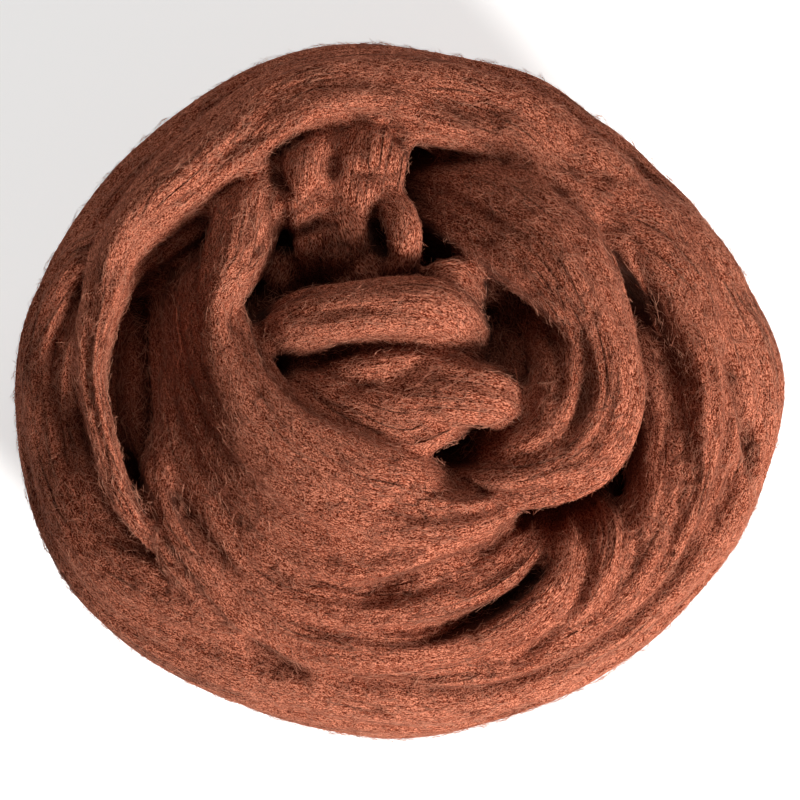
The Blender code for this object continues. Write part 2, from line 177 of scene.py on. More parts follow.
# Stretches that cross the top of the ball, and the crumpled folds in its hollow.
# Each row is placed in plan and sunk below the form; lean tips it sideways. Every
# table here has the columns x, y, sunk, wide, thick and lean.
FOLDS = {
    "fan_outer": (
        # x, y, sunk, wide, thick, lean
        (40, 70, 34, 18, 18, 0),
        (57, 53, 25, 20, 20, 0),
        (71, 31, 21, 20, 22, -10),
        (79.5, 8, 15, 20, 24, 0),
        (82, -10, 11, 19, 24, 4),
        (79, -27, 7, 17, 22, 0),
        (72.5, -41, 3, 15, 20, 0),
        (66, -53, 0.5, 13, 18, 0),
        (56, -63, 0, 12, 16, 0),
        (45, -70, 1, 10, 14, 0),
        (32, -76, 5, 9, 12, 0),
    ),
    "fan_inner": (
        (62, -28, 46, 11, 14, 0),
        (61, -36, 28, 12, 16, 0),
        (60, -44, 6, 12, 19, 0),
        (56, -53, 1, 12, 19, 0),
        (50, -61, 0, 11, 17, 0),
        (42, -67, 2, 9, 14, 0),
        (34, -71, 8, 8, 10, 0),
    ),
    "fan_third": (
        (54, -32, 48, 12, 17, 0),
        (51, -40, 34, 11, 17, 0),
        (47, -48, 12, 12, 20, 0),
        (41, -57, 1, 14, 20, 0),
        (31, -65, 0, 16, 20, 0),
        (16, -71, 0, 14, 20, 0),
        (0, -73, 0, 12, 18, 0),
        (-16, -71, 0, 11, 18, 0),
        (-30, -67, 1, 12, 18, 0),
        (-44, -59, 4, 14, 18, 0),
        (-55, -47, 8, 15, 18, 0),
        (-63, -33, 13, 16, 18, 4),
        (-68, -17, 19, 16, 18, 8),
        (-71, 0, 25, 15, 16, 8),
        (-71, 17, 31, 14, 15, 0),
        (-68, 32, 38, 12, 13, 0),
    ),
    "fan_middle": (
        (51, -29, 48, 13, 16, 0),
        (46, -37, 34, 12, 17, 0),
        (40, -44, 17, 13, 20, 0),
        (28, -52, 4, 16, 21, 6),
        (10, -58, 1, 17, 21, 8),
        (-8, -61, 1, 16, 21, 8),
        (-26, -58, 1, 17, 21, 10),
        (-42, -49, 4, 20, 21, 22),
        (-54, -34, 11, 20, 21, 28),
        (-62, -16, 20, 16, 20, 30),
        (-63, 0, 32, 14, 18, 22),
        (-60, 16, 44, 12, 16, 0),
    ),
    "sweep_low": (
        (42, -26, 48, 12, 17, 0),
        (36, -33, 42, 14, 17, 0),
        (29, -39, 25, 14, 20, 5),
        (20, -42, 7, 15, 20, 12),
        (8, -45, 1, 16, 20, 14),
        (-6, -48, 1, 16, 20, 14),
        (-20, -48, 2, 16, 20, 16),
        (-36, -40, 6, 16, 20, 26),
        (-48, -27, 12, 16, 18, 32),
        (-56, -10, 20, 14, 16, 32),
    ),
    "sweep_body": (
        (35, -31, 42, 12, 17, 0),
        (25, -35.5, 9, 14, 20, 8),
        (10, -37, -1, 21, 22, 20),
        (-6, -36, -2, 30, 24, 22),
        (-26, -30, -1, 38, 25, 24),
        (-42, -17, 5, 42, 25, 34),
        (-54, 0, 13, 44, 24, 40),
        (-60, 18, 17, 34, 22, 40),
        (-61, 34, 19, 27, 20, 32),
        (-54, 52, 24, 20, 16, 10),
    ),
    "sweep_high": (
        (24, -33, 44, 13, 16, 0),
        (15, -32, 26, 15, 17, 8),
        (7, -29, 9, 18, 20, 18),
        (-2, -26.5, -2, 21, 21, 22),
        (-14, -23, -4, 22, 21, 22),
        (-29, -13, -3, 20, 20, 18),
        (-41, -2, 0, 18, 19, 12),
        (-49, 9, 3, 13, 17, 2),
        (-52, 19, 6, 10, 16, -12),
        (-51.5, 27, 7, 13, 16, -22),
        (-49.5, 34, 8, 17, 17, -28),
        (-47, 41, 8, 19, 18, -30),
        (-44.5, 50, 8.5, 19, 17, -24),
        (-41, 59, 11, 17, 16, -12),
        (-35, 68, 18, 14, 15, 0),
    ),
    "hook": (
        (-3, 86, 36, 24, 16, 0),
        (10, 73, 25, 28, 20, 0),
        (21, 63, 16, 31, 24, 0),
        (32, 52, 8, 32, 26, 0),
        (42, 42, 2.5, 31, 26, 0),
        (50.5, 30.5, 0, 27, 26, 0),
        (57.5, 16, 0.5, 22, 24, 0),
        (60, -2, 0.5, 20, 24, 0),
        (52.5, -17, 1, 23, 23, 0),
        (38.5, -24.5, 5, 20, 20, 0),
        (25, -27, 13, 15, 16, 0),
        (13, -26, 26, 13, 13, 0),
        (2, -24, 40, 12, 12, 0),
    ),
    "hook_under": (
        (0, 82, 42, 22, 14, 0),
        (12, 67, 31, 26, 16, 0),
        (21, 53, 27, 24, 16, 0),
        (28, 41, 26, 20, 16, 0),
        (35, 29, 28, 18, 16, 0),
        (40, 18, 40, 14, 14, 0),
    ),
    "hook_inner": (
        (36, 36, 36, 18, 16, -20),
        (45, 24, 24, 24, 18, -38),
        (50, 7, 9, 26, 18, -40),
        (44, -9, 6, 24, 18, -34),
        (34, -16, 11, 18, 15, -18),
        (22, -18, 26, 12, 12, 0),
    ),
    "hook_curl": (
        (22, 30, 40, 14, 14, 0),
        (31, 21, 30, 18, 16, -20),
        (38, 8, 23, 20, 16, -30),
        (36, -4, 20, 18, 16, -20),
        (28, -12, 22, 14, 14, 0),
        (17, -14, 30, 12, 12, 0),
    ),
    "middle_upper": (
        (-44, 9, 32, 15, 15, 0),
        (-32, 17, 14, 18, 16, 0),
        (-14, 21, 6, 17, 18, 0),
        (6, 22, 5, 17, 18, 0),
        (15, 19, 14, 16, 16, 0),
        (22, 11, 32, 14, 15, 0),
    ),
    "middle_lower": (
        (-38, -2, 40, 18, 15, 0),
        (-18, 0, 18, 20, 18, 0),
        (2, 0, 8, 20, 18, 6),
        (16, -1, 4, 19, 19, 8),
        (26, -2, 8, 17, 19, 0),
        (31, -5, 28, 14, 15, 0),
    ),
    "middle_body": (
        (-34, 8, 30, 22, 15, 0),
        (-10, 9, 12, 28, 18, 0),
        (10, 10, 11, 26, 18, 0),
        (24, 6, 32, 18, 15, 0),
    ),
    "middle_edge": (
        (-36, 2, 26, 14, 12, 0),
        (-25, -3, 12, 17, 13, 4),
        (-11, -10, 6, 18, 13, 6),
        (2, -13.5, 5, 15, 13, 8),
        (13, -10, 9, 12, 12, 0),
        (22, -7, 26, 10, 12, 0),
    ),
    "fold_b": (
        (-20, 80, 14, 15, 13, 0),
        (-25, 70, 10, 18, 13, 0),
        (-26.5, 61, 10, 15, 14, 0),
        (-26.5, 54, 14, 13, 13, 0),
        (-27, 46, 28, 10, 12, 0),
    ),
    "fold_bc": (
        (-13, 81, 14, 15, 12, 0),
        (-17, 70, 12, 16, 13, 0),
        (-18, 60, 15, 14, 12, 0),
        (-18, 50, 25, 12, 12, 0),
    ),
    "fold_c": (
        (-6, 82, 15, 20, 12, 0),
        (-7.5, 72, 10, 20, 13, 0),
        (-8.5, 64, 11, 19, 14, 0),
        (-9.5, 57, 15, 18, 13, 0),
        (-11, 49, 28, 15, 12, 0),
    ),
    "fold_d": (
        (-23, 57, 28, 16, 12, 0),
        (-20, 50, 17, 22, 13, 0),
        (-18.5, 45, 16, 23, 13, 0),
        (-18, 39, 24, 21, 12, 0),
        (-16, 32, 38, 18, 12, 0),
    ),
    "fold_e": (
        (-6, 60, 20, 9, 12, 0),
        (-1, 53.5, 14, 9.5, 14, 0),
        (1.2, 45, 12, 10, 16, 0),
        (0.6, 38, 16, 9.5, 14, 0),
        (-1, 30, 34, 8, 12, 0),
    ),
    "fold_f": (
        (-17, 46, 34, 20, 12, 0),
        (-11, 38, 22, 24, 14, 0),
        (-7, 30, 25, 24, 14, 0),
        (-4, 20, 44, 20, 12, 0),
    ),
    "fold_g": (
        (-36, 46, 24, 12, 12, 0),
        (-37, 37, 24, 13, 13, 0),
        (-40, 26, 33, 12, 12, 0),
    ),
    "small_loop": (
        (5, 25, 26, 9, 12, 0),
        (9.5, 33, 18, 10, 15, 0),
        (17, 34, 17, 10, 15, 0),
        (24, 26, 24, 9, 12, 0),
    ),
}

# Creases seen from above: how deep and how wide each is, then its way in plan.
CREASES = (
    (1.6, 1.3, ((-81, 21), (-78, 29), (-73, 36), (-67, 44), (-58, 52), (-48, 60))),
    (1.4, 1.2, ((-55, 57), (-48, 62), (-40, 67), (-31, 71))),
    (1.2, 1.2, ((-73, 24), (-70, 32), (-65, 39), (-58, 45), (-52, 50))),
    (1.8, 1.4, ((-53, 48), (-48, 53), (-42, 58), (-34, 64), (-25, 69), (-17, 72))),
    (1.8, 1.4, ((-16, 76), (-11, 74), (-4, 75), (-1, 76))),
    (2.0, 1.4, ((-34, 62), (-33, 58), (-31, 54), (-26, 51), (-21, 53), (-19, 56))),
    (2.2, 2.2, ((-19, 56), (-18, 60), (-19, 64))),
    (2.0, 1.3, ((-13, 59), (-6, 58), (1, 58))),
    (2.2, 1.4, ((-30, 47), (-27, 49), (-23, 52), (-16, 52))),
    (2.4, 1.5, ((-30, 41), (-26, 43), (-20, 45), (-16, 41))),
    (2.6, 1.6, ((-6, 53), (-7, 48), (-6, 42), (-4, 37), (-1, 33))),
    (2.2, 1.5, ((-5, 75), (-1, 71), (2, 66), (4, 60))),
    (2.0, 1.4, ((-34, 56), (-35, 50), (-34, 44), (-37, 39), (-43, 34))),
    (2.0, 1.1, ((76, -2), (77, -14), (76, -29), (72, -44), (65, -57), (58, -65))),
    (1.8, 1.0, ((71, -20), (71, -31), (67, -42), (61, -52), (54, -60), (45, -66))),
    (1.6, 1.0, ((45, -54), (42, -58), (37, -64), (30, -68), (22, -72))),
    (1.6, 1.0, ((81, 15), (84, 4), (85, -7), (84, -18), (82, -30))),
    (1.6, 1.1, ((96, 2), (99, -11), (99, -25), (95, -37), (89, -46))),
    (1.6, 1.1, ((91, -42), (81, -54), (70, -64), (60, -71), (47, -77), (33, -83))),
    (1.4, 1.0, ((37, -46), (27, -54), (17, -58), (7, -60))),
    (2.4, 1.6, ((17, 70), (22, 67), (28, 64), (34, 63))),
    (2.4, 1.6, ((33, 63), (39, 62), (47, 60), (55, 58), (64, 56))),
    (1.8, 1.6, ((39, 60), (43, 54), (49, 47), (54, 39))),
    (2.0, 2.0, ((-82, 42), (-86, 32), (-88, 21), (-89, 11), (-88, 0), (-86, -10), (-83, -20))),
    (2.2, 1.6, ((43, 20), (49, 12), (50, 1), (48, -8), (42, -16))),
    (2.0, 1.5, ((38, 19), (42, 11), (43, 1), (41, -7))),
    (1.0, 1.6, ((-70, 52), (-61, 62), (-47, 73), (-27, 84))),
    (1.5, 1.3, ((-83, 16), (-84, 5), (-82, -8), (-78, -20), (-75, -27))),
    (1.4, 1.2, ((-101, -16), (-100, -25), (-96, -34), (-91, -39))),
    (1.0, 1.2, ((-97, 16), (-98, 2), (-97, -11), (-94, -25), (-88, -38))),
    (2.6, 1.6, ((-68, 34), (-70, 24), (-70, 11), (-69, -6), (-68, -21))),
    (2.6, 1.6, ((-74, -16), (-70, -29), (-65, -39), (-58, -50), (-50, -60), (-43, -67))),
    (2.2, 1.5, ((-65, -21), (-60, -30), (-51, -42), (-43, -51))),
    (1.6, 1.3, ((-46, 19), (-38, 11), (-30, -1), (-19, -8), (-10, -12))),
    (2.4, 1.5, ((28, -35), (26, -42), (16, -45), (6, -49), (-5, -53), (-13, -55))),
    (2.4, 1.5, ((46, -42), (39, -49), (31, -56), (22, -61),
                (11, -67), (0, -69), (-11, -68), (-21, -65), (-30, -63))),
    (2.2, 1.4, ((53, -42), (51, -50), (47, -60), (39, -68), (28, -75))),
    (2.0, 1.4, ((65, -35), (64, -45), (61, -53))),
    (2.8, 1.6, ((81, 21), (87, 8), (89, -6), (87, -22), (81, -39), (72, -54),
                (60, -65), (43, -75), (27, -81), (11, -82), (-5, -79), (-21, -75), (-40, -66))),
    (1.4, 1.2, ((-6, -32), (6, -31), (21, -34))),
    (1.4, 1.2, ((-6, -32), (7, -35), (21, -34))),
    (1.2, 1.0, ((-13, -39), (-5, -38), (5, -36))),
    (1.2, 1.0, ((-22, -44), (-15, -47), (-6, -49))),
    (1.2, 1.0, ((-21, -59), (-11, -61), (1, -61))),
    (1.3, 1.1, ((0, -77), (12, -78), (25, -76))),
    (1.2, 1.0, ((10, -56), (22, -52), (33, -45))),
    (3.2, 1.9, ((86, 16), (90, 5), (93, -7), (95, -19), (96, -30))),
    (2.0, 1.4, ((91, -16), (89, -25), (86, -33), (82, -41))),
    (3.4, 1.8, ((-44, -67), (-38, -70), (-31, -75), (-23, -78))),
    (2.6, 2.4, ((-41, -70), (-37, -74), (-31, -77))),
    (1.4, 1.2, ((17, -69), (20, -65), (21, -61))),
    (1.6, 1.4, ((54, 47), (57, 36), (61, 27), (62, 16))),
    (2.2, 1.6, ((62, 42), (67, 28), (71, 16), (77, 2), (78, -2))),
    (2.0, 1.4, ((78, -14), (80, -21), (79, -29), (78, -33))),
    (1.2, 1.2, ((69, 16), (72, 2), (72, -11), (69, -25))),
    (2.2, 4.0, ((0, 75), (11, 77), (22, 74), (27, 67), (39, 63), (51, 58), (57, 50))),
    (2.0, 1.5, ((51, 16), (55, 5), (56, -6), (51, -16), (43, -22))),
    (1.8, 1.6, ((-27, 5), (-16, 10), (0, 12), (15, 10))),
    (1.2, 1.2, ((-27, 19), (-15, 21), (0, 21), (11, 18))),
    (1.2, 1.2, ((-19, -1), (-5, 1), (11, -1), (22, -3))),
)

# Creases round the flank, where turns lie on each other: along the azimuth and
# the latitude in degrees, then how deep and how wide.
SIDE_CREASES = (
    # start and end azimuth, start and end latitude, deep, wide
    (-172, -48, -15, -8, 3.4, 1.7),
    (-84, 58, -26, -11, 3.8, 1.9),
    (24, 152, -9, -21, 3.4, 1.6),
    (112, 236, -19, -8, 3.6, 1.8),
    (-150, -12, -40, -27, 3.6, 1.9),
    (-34, 108, -31, -42, 3.4, 1.8),
    (88, 216, -36, -25, 3.6, 1.7),
    (186, 322, -24, -38, 3.2, 1.6),
    (-60, 20, -18, -31, 2.4, 1.3),
    (64, 128, -27, -14, 2.4, 1.3),
    (150, 205, -12, -24, 2.4, 1.3),
    (-128, -76, -30, -20, 2.4, 1.3),
    (10, 96, -52, -48, 2.6, 1.7),
    (130, 250, -47, -55, 2.6, 1.7),
    (262, 342, -55, -46, 2.6, 1.7),
)

# Long wispy fibres that lie loose on top, each by its ends and middle in plan.
WISP_STEPS = 14
WISP_WAVE = 0.5                 # how far a wisp sways from its line
WISP_WAVES = (7, 9)             # how fast it sways along X and along Y
WISP_LIFT = 0.6                 # how far it lies above the form
WISPS = (
    # start x, y, middle x, y, end x, y
    (-82.6, -26.7, -84.5, -37.0, -85.6, -41.6),
    (-70.2, -36.7, -62.0, -39.0, -55.3, -41.3),
    (-90.0, -36.7, -89.0, -39.5, -88.6, -40.8),
    (-37.8, -30.0, -35.5, -33.0, -33.8, -34.6),
    (-39.2, -44.3, -38.0, -45.6, -37.3, -46.7),
    (-5.4, -86.7, -3.4, -88.0, -1.9, -90.0),
    (-60.0, 22.0, -58.0, 14.0, -59.5, 6.0),
    (30.0, -8.0, 34.0, -1.0, 31.0, 5.0),
    (52.0, 44.0, 58.0, 52.0, 66.0, 55.0),
    (-30.0, 70.0, -38.0, 73.0, -46.0, 71.0),
)

# The strand's relief: how long and how wide each kind of bump is, in millimetres.
LUMPS = (34, 14)
RIDGES = (42, 4.2)
LOCKS = (20, 2.2)
FIBRES = (9, 1.3)
DRIFT_LENGTH = 26               # the ridges drift sideways over this length,
DRIFT = 2.0                     # by this much
RIDGE_LEVEL = 0.45              # share of a ridge that stands above the strand
DEEPEST = 0.3                   # share of the strand's thickness that the relief may cut
PLEAT_REACH = (18, 75)          # half lengths of the shortest and longest pleats
PLEAT_WIDTH = (1.2, 2.6)        # and their widths
PLEAT_SHARE = (0.3, 1.0)        # depths, as shares of the deepest
PLEAT_DRIFT = 0.05              # how far a pleat strays round the strand, as a share
PLEAT_WAVE = 0.012              # and how far it sways
PLEAT_FADE = 1.5                # how steeply it fades out

BLUNT = 0.03                    # how blunt the hidden ends of a strand are
BATCH = 20000                   # points that are placed on a strand at a time

# The joined skin, in millimetres and degrees where nothing else is said.
CORE_SEGMENTS, CORE_RINGS = 48, 24
CREASE_STEP = 3.0               # a crease's line has a point this often
CREASE_FADE = 4                 # a crease fades over this part, a quarter, of its way,
CREASE_END = 0.7                # and as steeply as this at its ends
CARVE_UP = 0.35                 # a crease is cut this much along the skin's own normal
FLANK_FROM = 0.86               # the flank's creases cut only what is this far out
SWAY = 1.4                      # and sway by this many degrees,
SWAY_LENGTH = 9                 # over this many
LABEL_STEP = 37.0               # sets the grain of each strand apart from the next one's
# The rays that find how closed in the skin is, for the shade painted into its colour:
SKY_START = 0.0008              # rays start this far above the skin, in metres
SKY_REACH = 0.03                # and look this far for other wool
FAR_LESS = 0.5                  # wool at the end of that reach counts this much less
UNDERSIDE = -0.3                # no rays are sent where the skin faces down like this


# ---------------------------------------------------------------- the routes
def spline(rows, spacing, place):
    """Smooth samples through the rows, about the given spacing apart."""
    knots = np.array(rows, dtype=float)
    padded = np.vstack([2 * knots[0] - knots[1], knots, 2 * knots[-1] - knots[-2]])
    samples = []
    for k in range(1, len(padded) - 2):
        p0, p1, p2, p3 = padded[k - 1:k + 3]
        length = np.linalg.norm(place(p2) - place(p1))
        count = max(2, round(length / spacing))
        for t in np.arange(count) / count:
            samples.append(0.5 * (2 * p1 + (p2 - p0) * t
                                  + (2 * p0 - 5 * p1 + 4 * p2 - p3) * t ** 2
                                  + (3 * p1 - p0 - 3 * p2 + p3) * t ** 3))
    samples.append(knots[-1])
    return np.array(samples)


def outline_reach(azimuth):
    """Share of the plain oval that the outline reaches at this azimuth."""
    azimuth %= 360
    k = max(i for i in range(len(OUTLINE)) if ANGLES[i] <= azimuth)
    t = (azimuth - ANGLES[k]) / (ANGLES[k + 1] - ANGLES[k])
    ease = t * t * (3 - 2 * t)
    return REACHES[k] + (REACHES[k + 1] - REACHES[k]) * ease


def on_turn(row):
    """Point of the form at a row's azimuth and latitude."""
    azimuth, latitude = math.radians(row[0]), math.radians(row[1])
    reach = math.cos(latitude) ** (2 / ROUNDNESS)
    reach *= outline_reach(math.degrees(math.atan2(HALF_WIDTH * math.sin(azimuth),
                                                   HALF_LENGTH * math.cos(azimuth))))
    rise = abs(math.sin(latitude)) ** (2 / ROUNDNESS)
    height = CROWN * rise if latitude > 0 else -BELLY * rise
    return np.array([HALF_LENGTH * reach * math.cos(azimuth),
                     HALF_WIDTH * reach * math.sin(azimuth), EQUATOR + height])


def on_top(row):
    """Point of the form straight above a row's place in plan."""
    reach = outline_reach(math.degrees(math.atan2(row[1], row[0])))
    share = math.hypot(row[0] / HALF_LENGTH, row[1] / HALF_WIDTH) / reach
    rise = max(0.0, 1 - min(share, 1.0) ** ROUNDNESS) ** (1 / ROUNDNESS)
    return np.array([row[0], row[1], EQUATOR + CROWN * rise])


def outward(point):
    """Direction straight out of the form at a point."""
    height = CROWN if point[2] > EQUATOR else BELLY
    share = np.array([point[0] / HALF_LENGTH, point[1] / HALF_WIDTH, (point[2] - EQUATOR) / height])
    size = np.array([HALF_LENGTH, HALF_WIDTH, height])
    slope = np.sign(share) * np.abs(share) ** (ROUNDNESS - 1) / size
    return slope / np.linalg.norm(slope)


def in_mm(length):
    """A length setting in millimetres, with the digits that Blender keeps."""
    return float(np.float32(round(length / MM, 3)))


def unit(vectors):
    """The same directions, one long."""
    return vectors / np.linalg.norm(vectors, axis=-1, keepdims=True)


# ---------------------------------------------------------------- the relief
def lattice_noise(rng, along, share, period, cells):
    """Smooth noise from -1 to 1 that closes round the strand."""
    rows = int(along.max() / period) + 3
    grid = rng.uniform(-1, 1, (rows, cells))
    y = np.broadcast_to((along / period)[:, None], share.shape)
    x = share * cells
    i, j = np.floor(y).astype(int), np.floor(x).astype(int)
    fy, fx = y - i, x - j
    fy, fx = fy * fy * (3 - 2 * fy), fx * fx * (3 - 2 * fx)

    def at(a, b):
        return grid[a % rows, b % cells]
    near = at(i, j) * (1 - fx) + at(i, j + 1) * fx
    far = at(i + 1, j) * (1 - fx) + at(i + 1, j + 1) * fx
    return near * (1 - fy) + far * fy


def pleat_depth(rng, along, share, girth, sizes):
    """How deep the pleats of the strand cut in, in millimetres."""
    depth = np.zeros(share.shape)
    count = round(along[-1] * girth / round(sizes.pleat_every / MM ** 2, 3))
    for _ in range(count):
        middle, half = rng.uniform(0, along[-1]), rng.uniform(*PLEAT_REACH)
        seat, drift = rng.uniform(0, 1), rng.uniform(-PLEAT_DRIFT, PLEAT_DRIFT)
        width, deep = rng.uniform(*PLEAT_WIDTH), rng.uniform(*PLEAT_SHARE) * in_mm(sizes.pleat_depth)
        travel = (along - middle) / half
        line = seat + drift * travel + PLEAT_WAVE * np.sin(travel * 3 + seat * 40)
        gap = np.abs((share - line[:, None] + 0.5) % 1 - 0.5) * girth
        fade = np.clip(1 - travel ** 2, 0, 1) ** PLEAT_FADE
        depth += deep * fade[:, None] * np.exp(-(gap / width) ** 2)
    return depth


def relief(rng, along, share, girth, thick, sizes):
    """Height of the wool's surface over the plain strand, in millimetres."""

    def bumps(where, size):
        return lattice_noise(rng, along, where, size[0], max(3, round(girth / size[1])))
    lumps = bumps(share, LUMPS)
    drifted = share + DRIFT * lattice_noise(rng, along, share, DRIFT_LENGTH, 3) / girth
    ridges = bumps(drifted, RIDGES)
    locks = bumps(drifted, LOCKS)
    fibres = bumps(drifted, FIBRES)
    depth = pleat_depth(rng, along, drifted, girth, sizes)
    height = (lumps * in_mm(sizes.lump) + (RIDGE_LEVEL - np.abs(ridges)) * in_mm(sizes.ridge)
              + locks * in_mm(sizes.lock) + fibres * in_mm(sizes.fibre) - depth)
    return np.maximum(height, -DEEPEST * thick[:, None])


# ---------------------------------------------------------------- the strands
class Strand:
    """One swept stretch of roving: its points, its directions and its surface map."""

    def __init__(self, name, sizes):
        rows, place = (TURNS[name], on_turn) if name in TURNS else (FOLDS[name], on_top)
        rng = np.random.default_rng(sum(ord(c) * (k + 3) for k, c in enumerate(name)))
        samples = spline(rows, in_mm(sizes.ring_gap), place)
        surface = np.array([place(row) for row in samples])
        out = np.array([outward(point) for point in surface])
        sunk, wide, thick = samples[:, 2], samples[:, 3], samples[:, 4]
        lean = np.radians(samples[:, 5] if samples.shape[1] > 5 else 0 * sunk)[:, None]
        centres = surface - out * (sunk + thick / 2)[:, None]
        tangent = unit(np.gradient(centres, axis=0))
        across = unit(np.cross(tangent, out))
        up = np.cross(across, tangent)
        across, up = (across * np.cos(lean) + up * np.sin(lean),
                      up * np.cos(lean) - across * np.sin(lean))
        steps = np.linalg.norm(np.diff(centres, axis=0), axis=1)
        along = np.concatenate([[0], np.cumsum(steps)])
        girth = float(np.mean(math.pi * (wide + thick) / 2))
        count = int(girth / in_mm(sizes.point_gap))
        share = np.broadcast_to(np.arange(count) / count, (len(along), count))
        angle = share * 2 * math.pi - math.pi / 2
        taper = self.taper(along, thick)[:, None]
        high = relief(rng, along, share, girth, thick, sizes)
        half_wide = (wide / 2)[:, None] * taper + high * np.minimum(taper, 1)
        half_thick = (thick / 2)[:, None] * taper + high * np.minimum(taper, 1)
        self.points = (centres[:, None] + across[:, None] * (half_wide * np.cos(angle))[..., None]
                       + up[:, None] * (half_thick * np.sin(angle))[..., None])
        self.points[..., 2] = np.maximum(self.points[..., 2], 0.0)
        self.centres, self.tangent, self.across, self.up = centres, tangent, across, up
        self.half_wide, self.half_thick = wide / 2, thick / 2
        self.along = along

    @staticmethod
    def taper(along, thick):
        """The strand rounds off at its two hidden ends."""
        to_end = np.minimum(along, along[-1] - along) / (thick / 2)
        return np.sqrt(1 - (1 - np.clip(to_end, BLUNT, 1)) ** 2)

    def add_to(self, bm):
        """Add the strand as a closed body."""
        rings = [[bm.verts.new(point * MM) for point in ring] for ring in self.points]
        for near, far in zip(rings, rings[1:]):
            for k, vert in enumerate(near):
                j = (k + 1) % len(near)
                bm.faces.new((vert, near[j], far[j], far[k]))
        bm.faces.new(rings[0][::-1])
        bm.faces.new(rings[-1])

    def surface_map(self, points):
        """Where points lie along, beside and above the strand, and how far off its surface."""
        nearest = np.empty(len(points), dtype=int)
        centres = self.centres.astype(np.float32)
        size = (centres ** 2).sum(1)
        for first in range(0, len(points), BATCH):
            part = points[first:first + BATCH].astype(np.float32)
            nearest[first:first + BATCH] = np.argmin(size - 2 * part @ centres.T, axis=1)

        def seen_from(ring):
            offset = points - self.centres[ring]
            return [(offset * way[ring]).sum(1) for way in (self.tangent, self.across, self.up)]
        ahead, side, rise = seen_from(nearest)
        other = np.clip(nearest + np.where(ahead >= 0, 1, -1), 0, len(self.along) - 1)
        ahead_2, side_2, rise_2 = seen_from(other)
        share = np.where(other == nearest, 0, np.abs(ahead) / (np.abs(ahead) + np.abs(ahead_2) + 1e-9))
        run = self.along[nearest] * (1 - share) + self.along[other] * share
        run = np.where(other == nearest, run + ahead, run)
        side, rise = side * (1 - share) + side_2 * share, rise * (1 - share) + rise_2 * share
        beyond = np.abs(run - np.clip(run, 0, self.along[-1]))
        half_wide, half_thick = self.half_wide[nearest], self.half_thick[nearest]
        off = (np.hypot(side / half_wide, rise / half_thick) - 1) * np.minimum(half_wide, half_thick)
        tangent = self.tangent[nearest] * (1 - share[:, None]) + self.tangent[other] * share[:, None]
        return np.stack([run, side, rise], -1), np.abs(off) + beyond, tangent


def spawn(name, data):
    """An object in the scene with this mesh, curve, light or camera."""
    obj = bpy.data.objects.new(name, data)
    bpy.context.scene.collection.objects.link(obj)
    return obj


def evaluated_mesh(obj):
    """Plain mesh of an object as its modifiers leave it; the object itself is removed."""
    graph = bpy.context.evaluated_depsgraph_get()
    mesh = bpy.data.meshes.new_from_object(obj.evaluated_get(graph))
    bpy.data.objects.remove(obj)
    return mesh


def joined_skin(strands, sizes):
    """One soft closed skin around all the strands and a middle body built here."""
    bm = bmesh.new()
    sphere = bmesh.ops.create_uvsphere(bm, u_segments=CORE_SEGMENTS, v_segments=CORE_RINGS, radius=1.0)
    for vert in sphere["verts"]:
        x, y = vert.co.x * (HALF_LENGTH - CORE_INSET), vert.co.y * (HALF_WIDTH - CORE_INSET)
        away = math.hypot(x - HOLLOW[0], y - HOLLOW[1])
        top = CORE_TOP - HOLLOW_DEPTH * math.exp(-away ** 2 / HOLLOW_REACH ** 2)
        z = EQUATOR + vert.co.z * (top if vert.co.z > 0 else BELLY)
        vert.co = Vector((x, y, max(z, 0.0))) * MM
    for strand in strands:
        strand.add_to(bm)
    mesh = bpy.data.meshes.new("strands")
    bm.to_mesh(mesh)
    bm.free()
    obj = spawn("strands", mesh)
    remesh = obj.modifiers.new("join", "REMESH")
    remesh.mode = "VOXEL"
    remesh.voxel_size = in_mm(sizes.skin_mesh) * MM
    smooth = obj.modifiers.new("soften", "SMOOTH")
    smooth.factor = 0.5
    smooth.iterations = sizes.soften
    skin = evaluated_mesh(obj)
    bm = bmesh.new()
    bm.from_mesh(skin)
    keep_outer_shell(bm)
    bm.to_mesh(skin)
    bm.free()
    return skin


def keep_outer_shell(bm):
    """Remove the closed pockets left inside, keeping only the largest body."""
    bm.verts.ensure_lookup_table()
    unseen = set(range(len(bm.verts)))
    bodies = []
    while unseen:
        body, waiting = [], [unseen.pop()]
        while waiting:
            vert = waiting.pop()
            body.append(vert)
            for edge in bm.verts[vert].link_edges:
                other = edge.other_vert(bm.verts[vert]).index
                if other in unseen:
                    unseen.remove(other)
                    waiting.append(other)
        bodies.append(body)
    bodies.sort(key=len)
    doomed = [bm.verts[k] for body in bodies[:-1] for k in body]
    bmesh.ops.delete(bm, geom=doomed, context="VERTS")


def line_distance(points, line):
    """Distance from points to a line, and the share of the line's length there."""
    line = np.array(line, dtype=float)
    legs = np.linalg.norm(np.diff(line, axis=0), axis=1)
    passed = np.concatenate([[0], np.cumsum(legs)])
    best, share = np.full(len(points), 1e9), np.zeros(len(points))
    for k, (start, end) in enumerate(zip(line, line[1:])):
        t = np.clip((points - start) @ (end - start) / legs[k] ** 2, 0, 1)
        distance = np.linalg.norm(points - start - t[:, None] * (end - start), axis=1)
        closer = distance < best
        best[closer] = distance[closer]
        share[closer] = (passed[k] + t[closer] * legs[k]) / passed[-1]
    return best, share


def cut(distance, share, deep, width):
    """Depth of a crease this far from its line, which fades out at both of its ends."""
    fade = np.clip(CREASE_FADE * np.minimum(share, 1 - share), 0, 1) ** CREASE_END
    return deep * fade * np.exp(-(distance / width) ** 2)


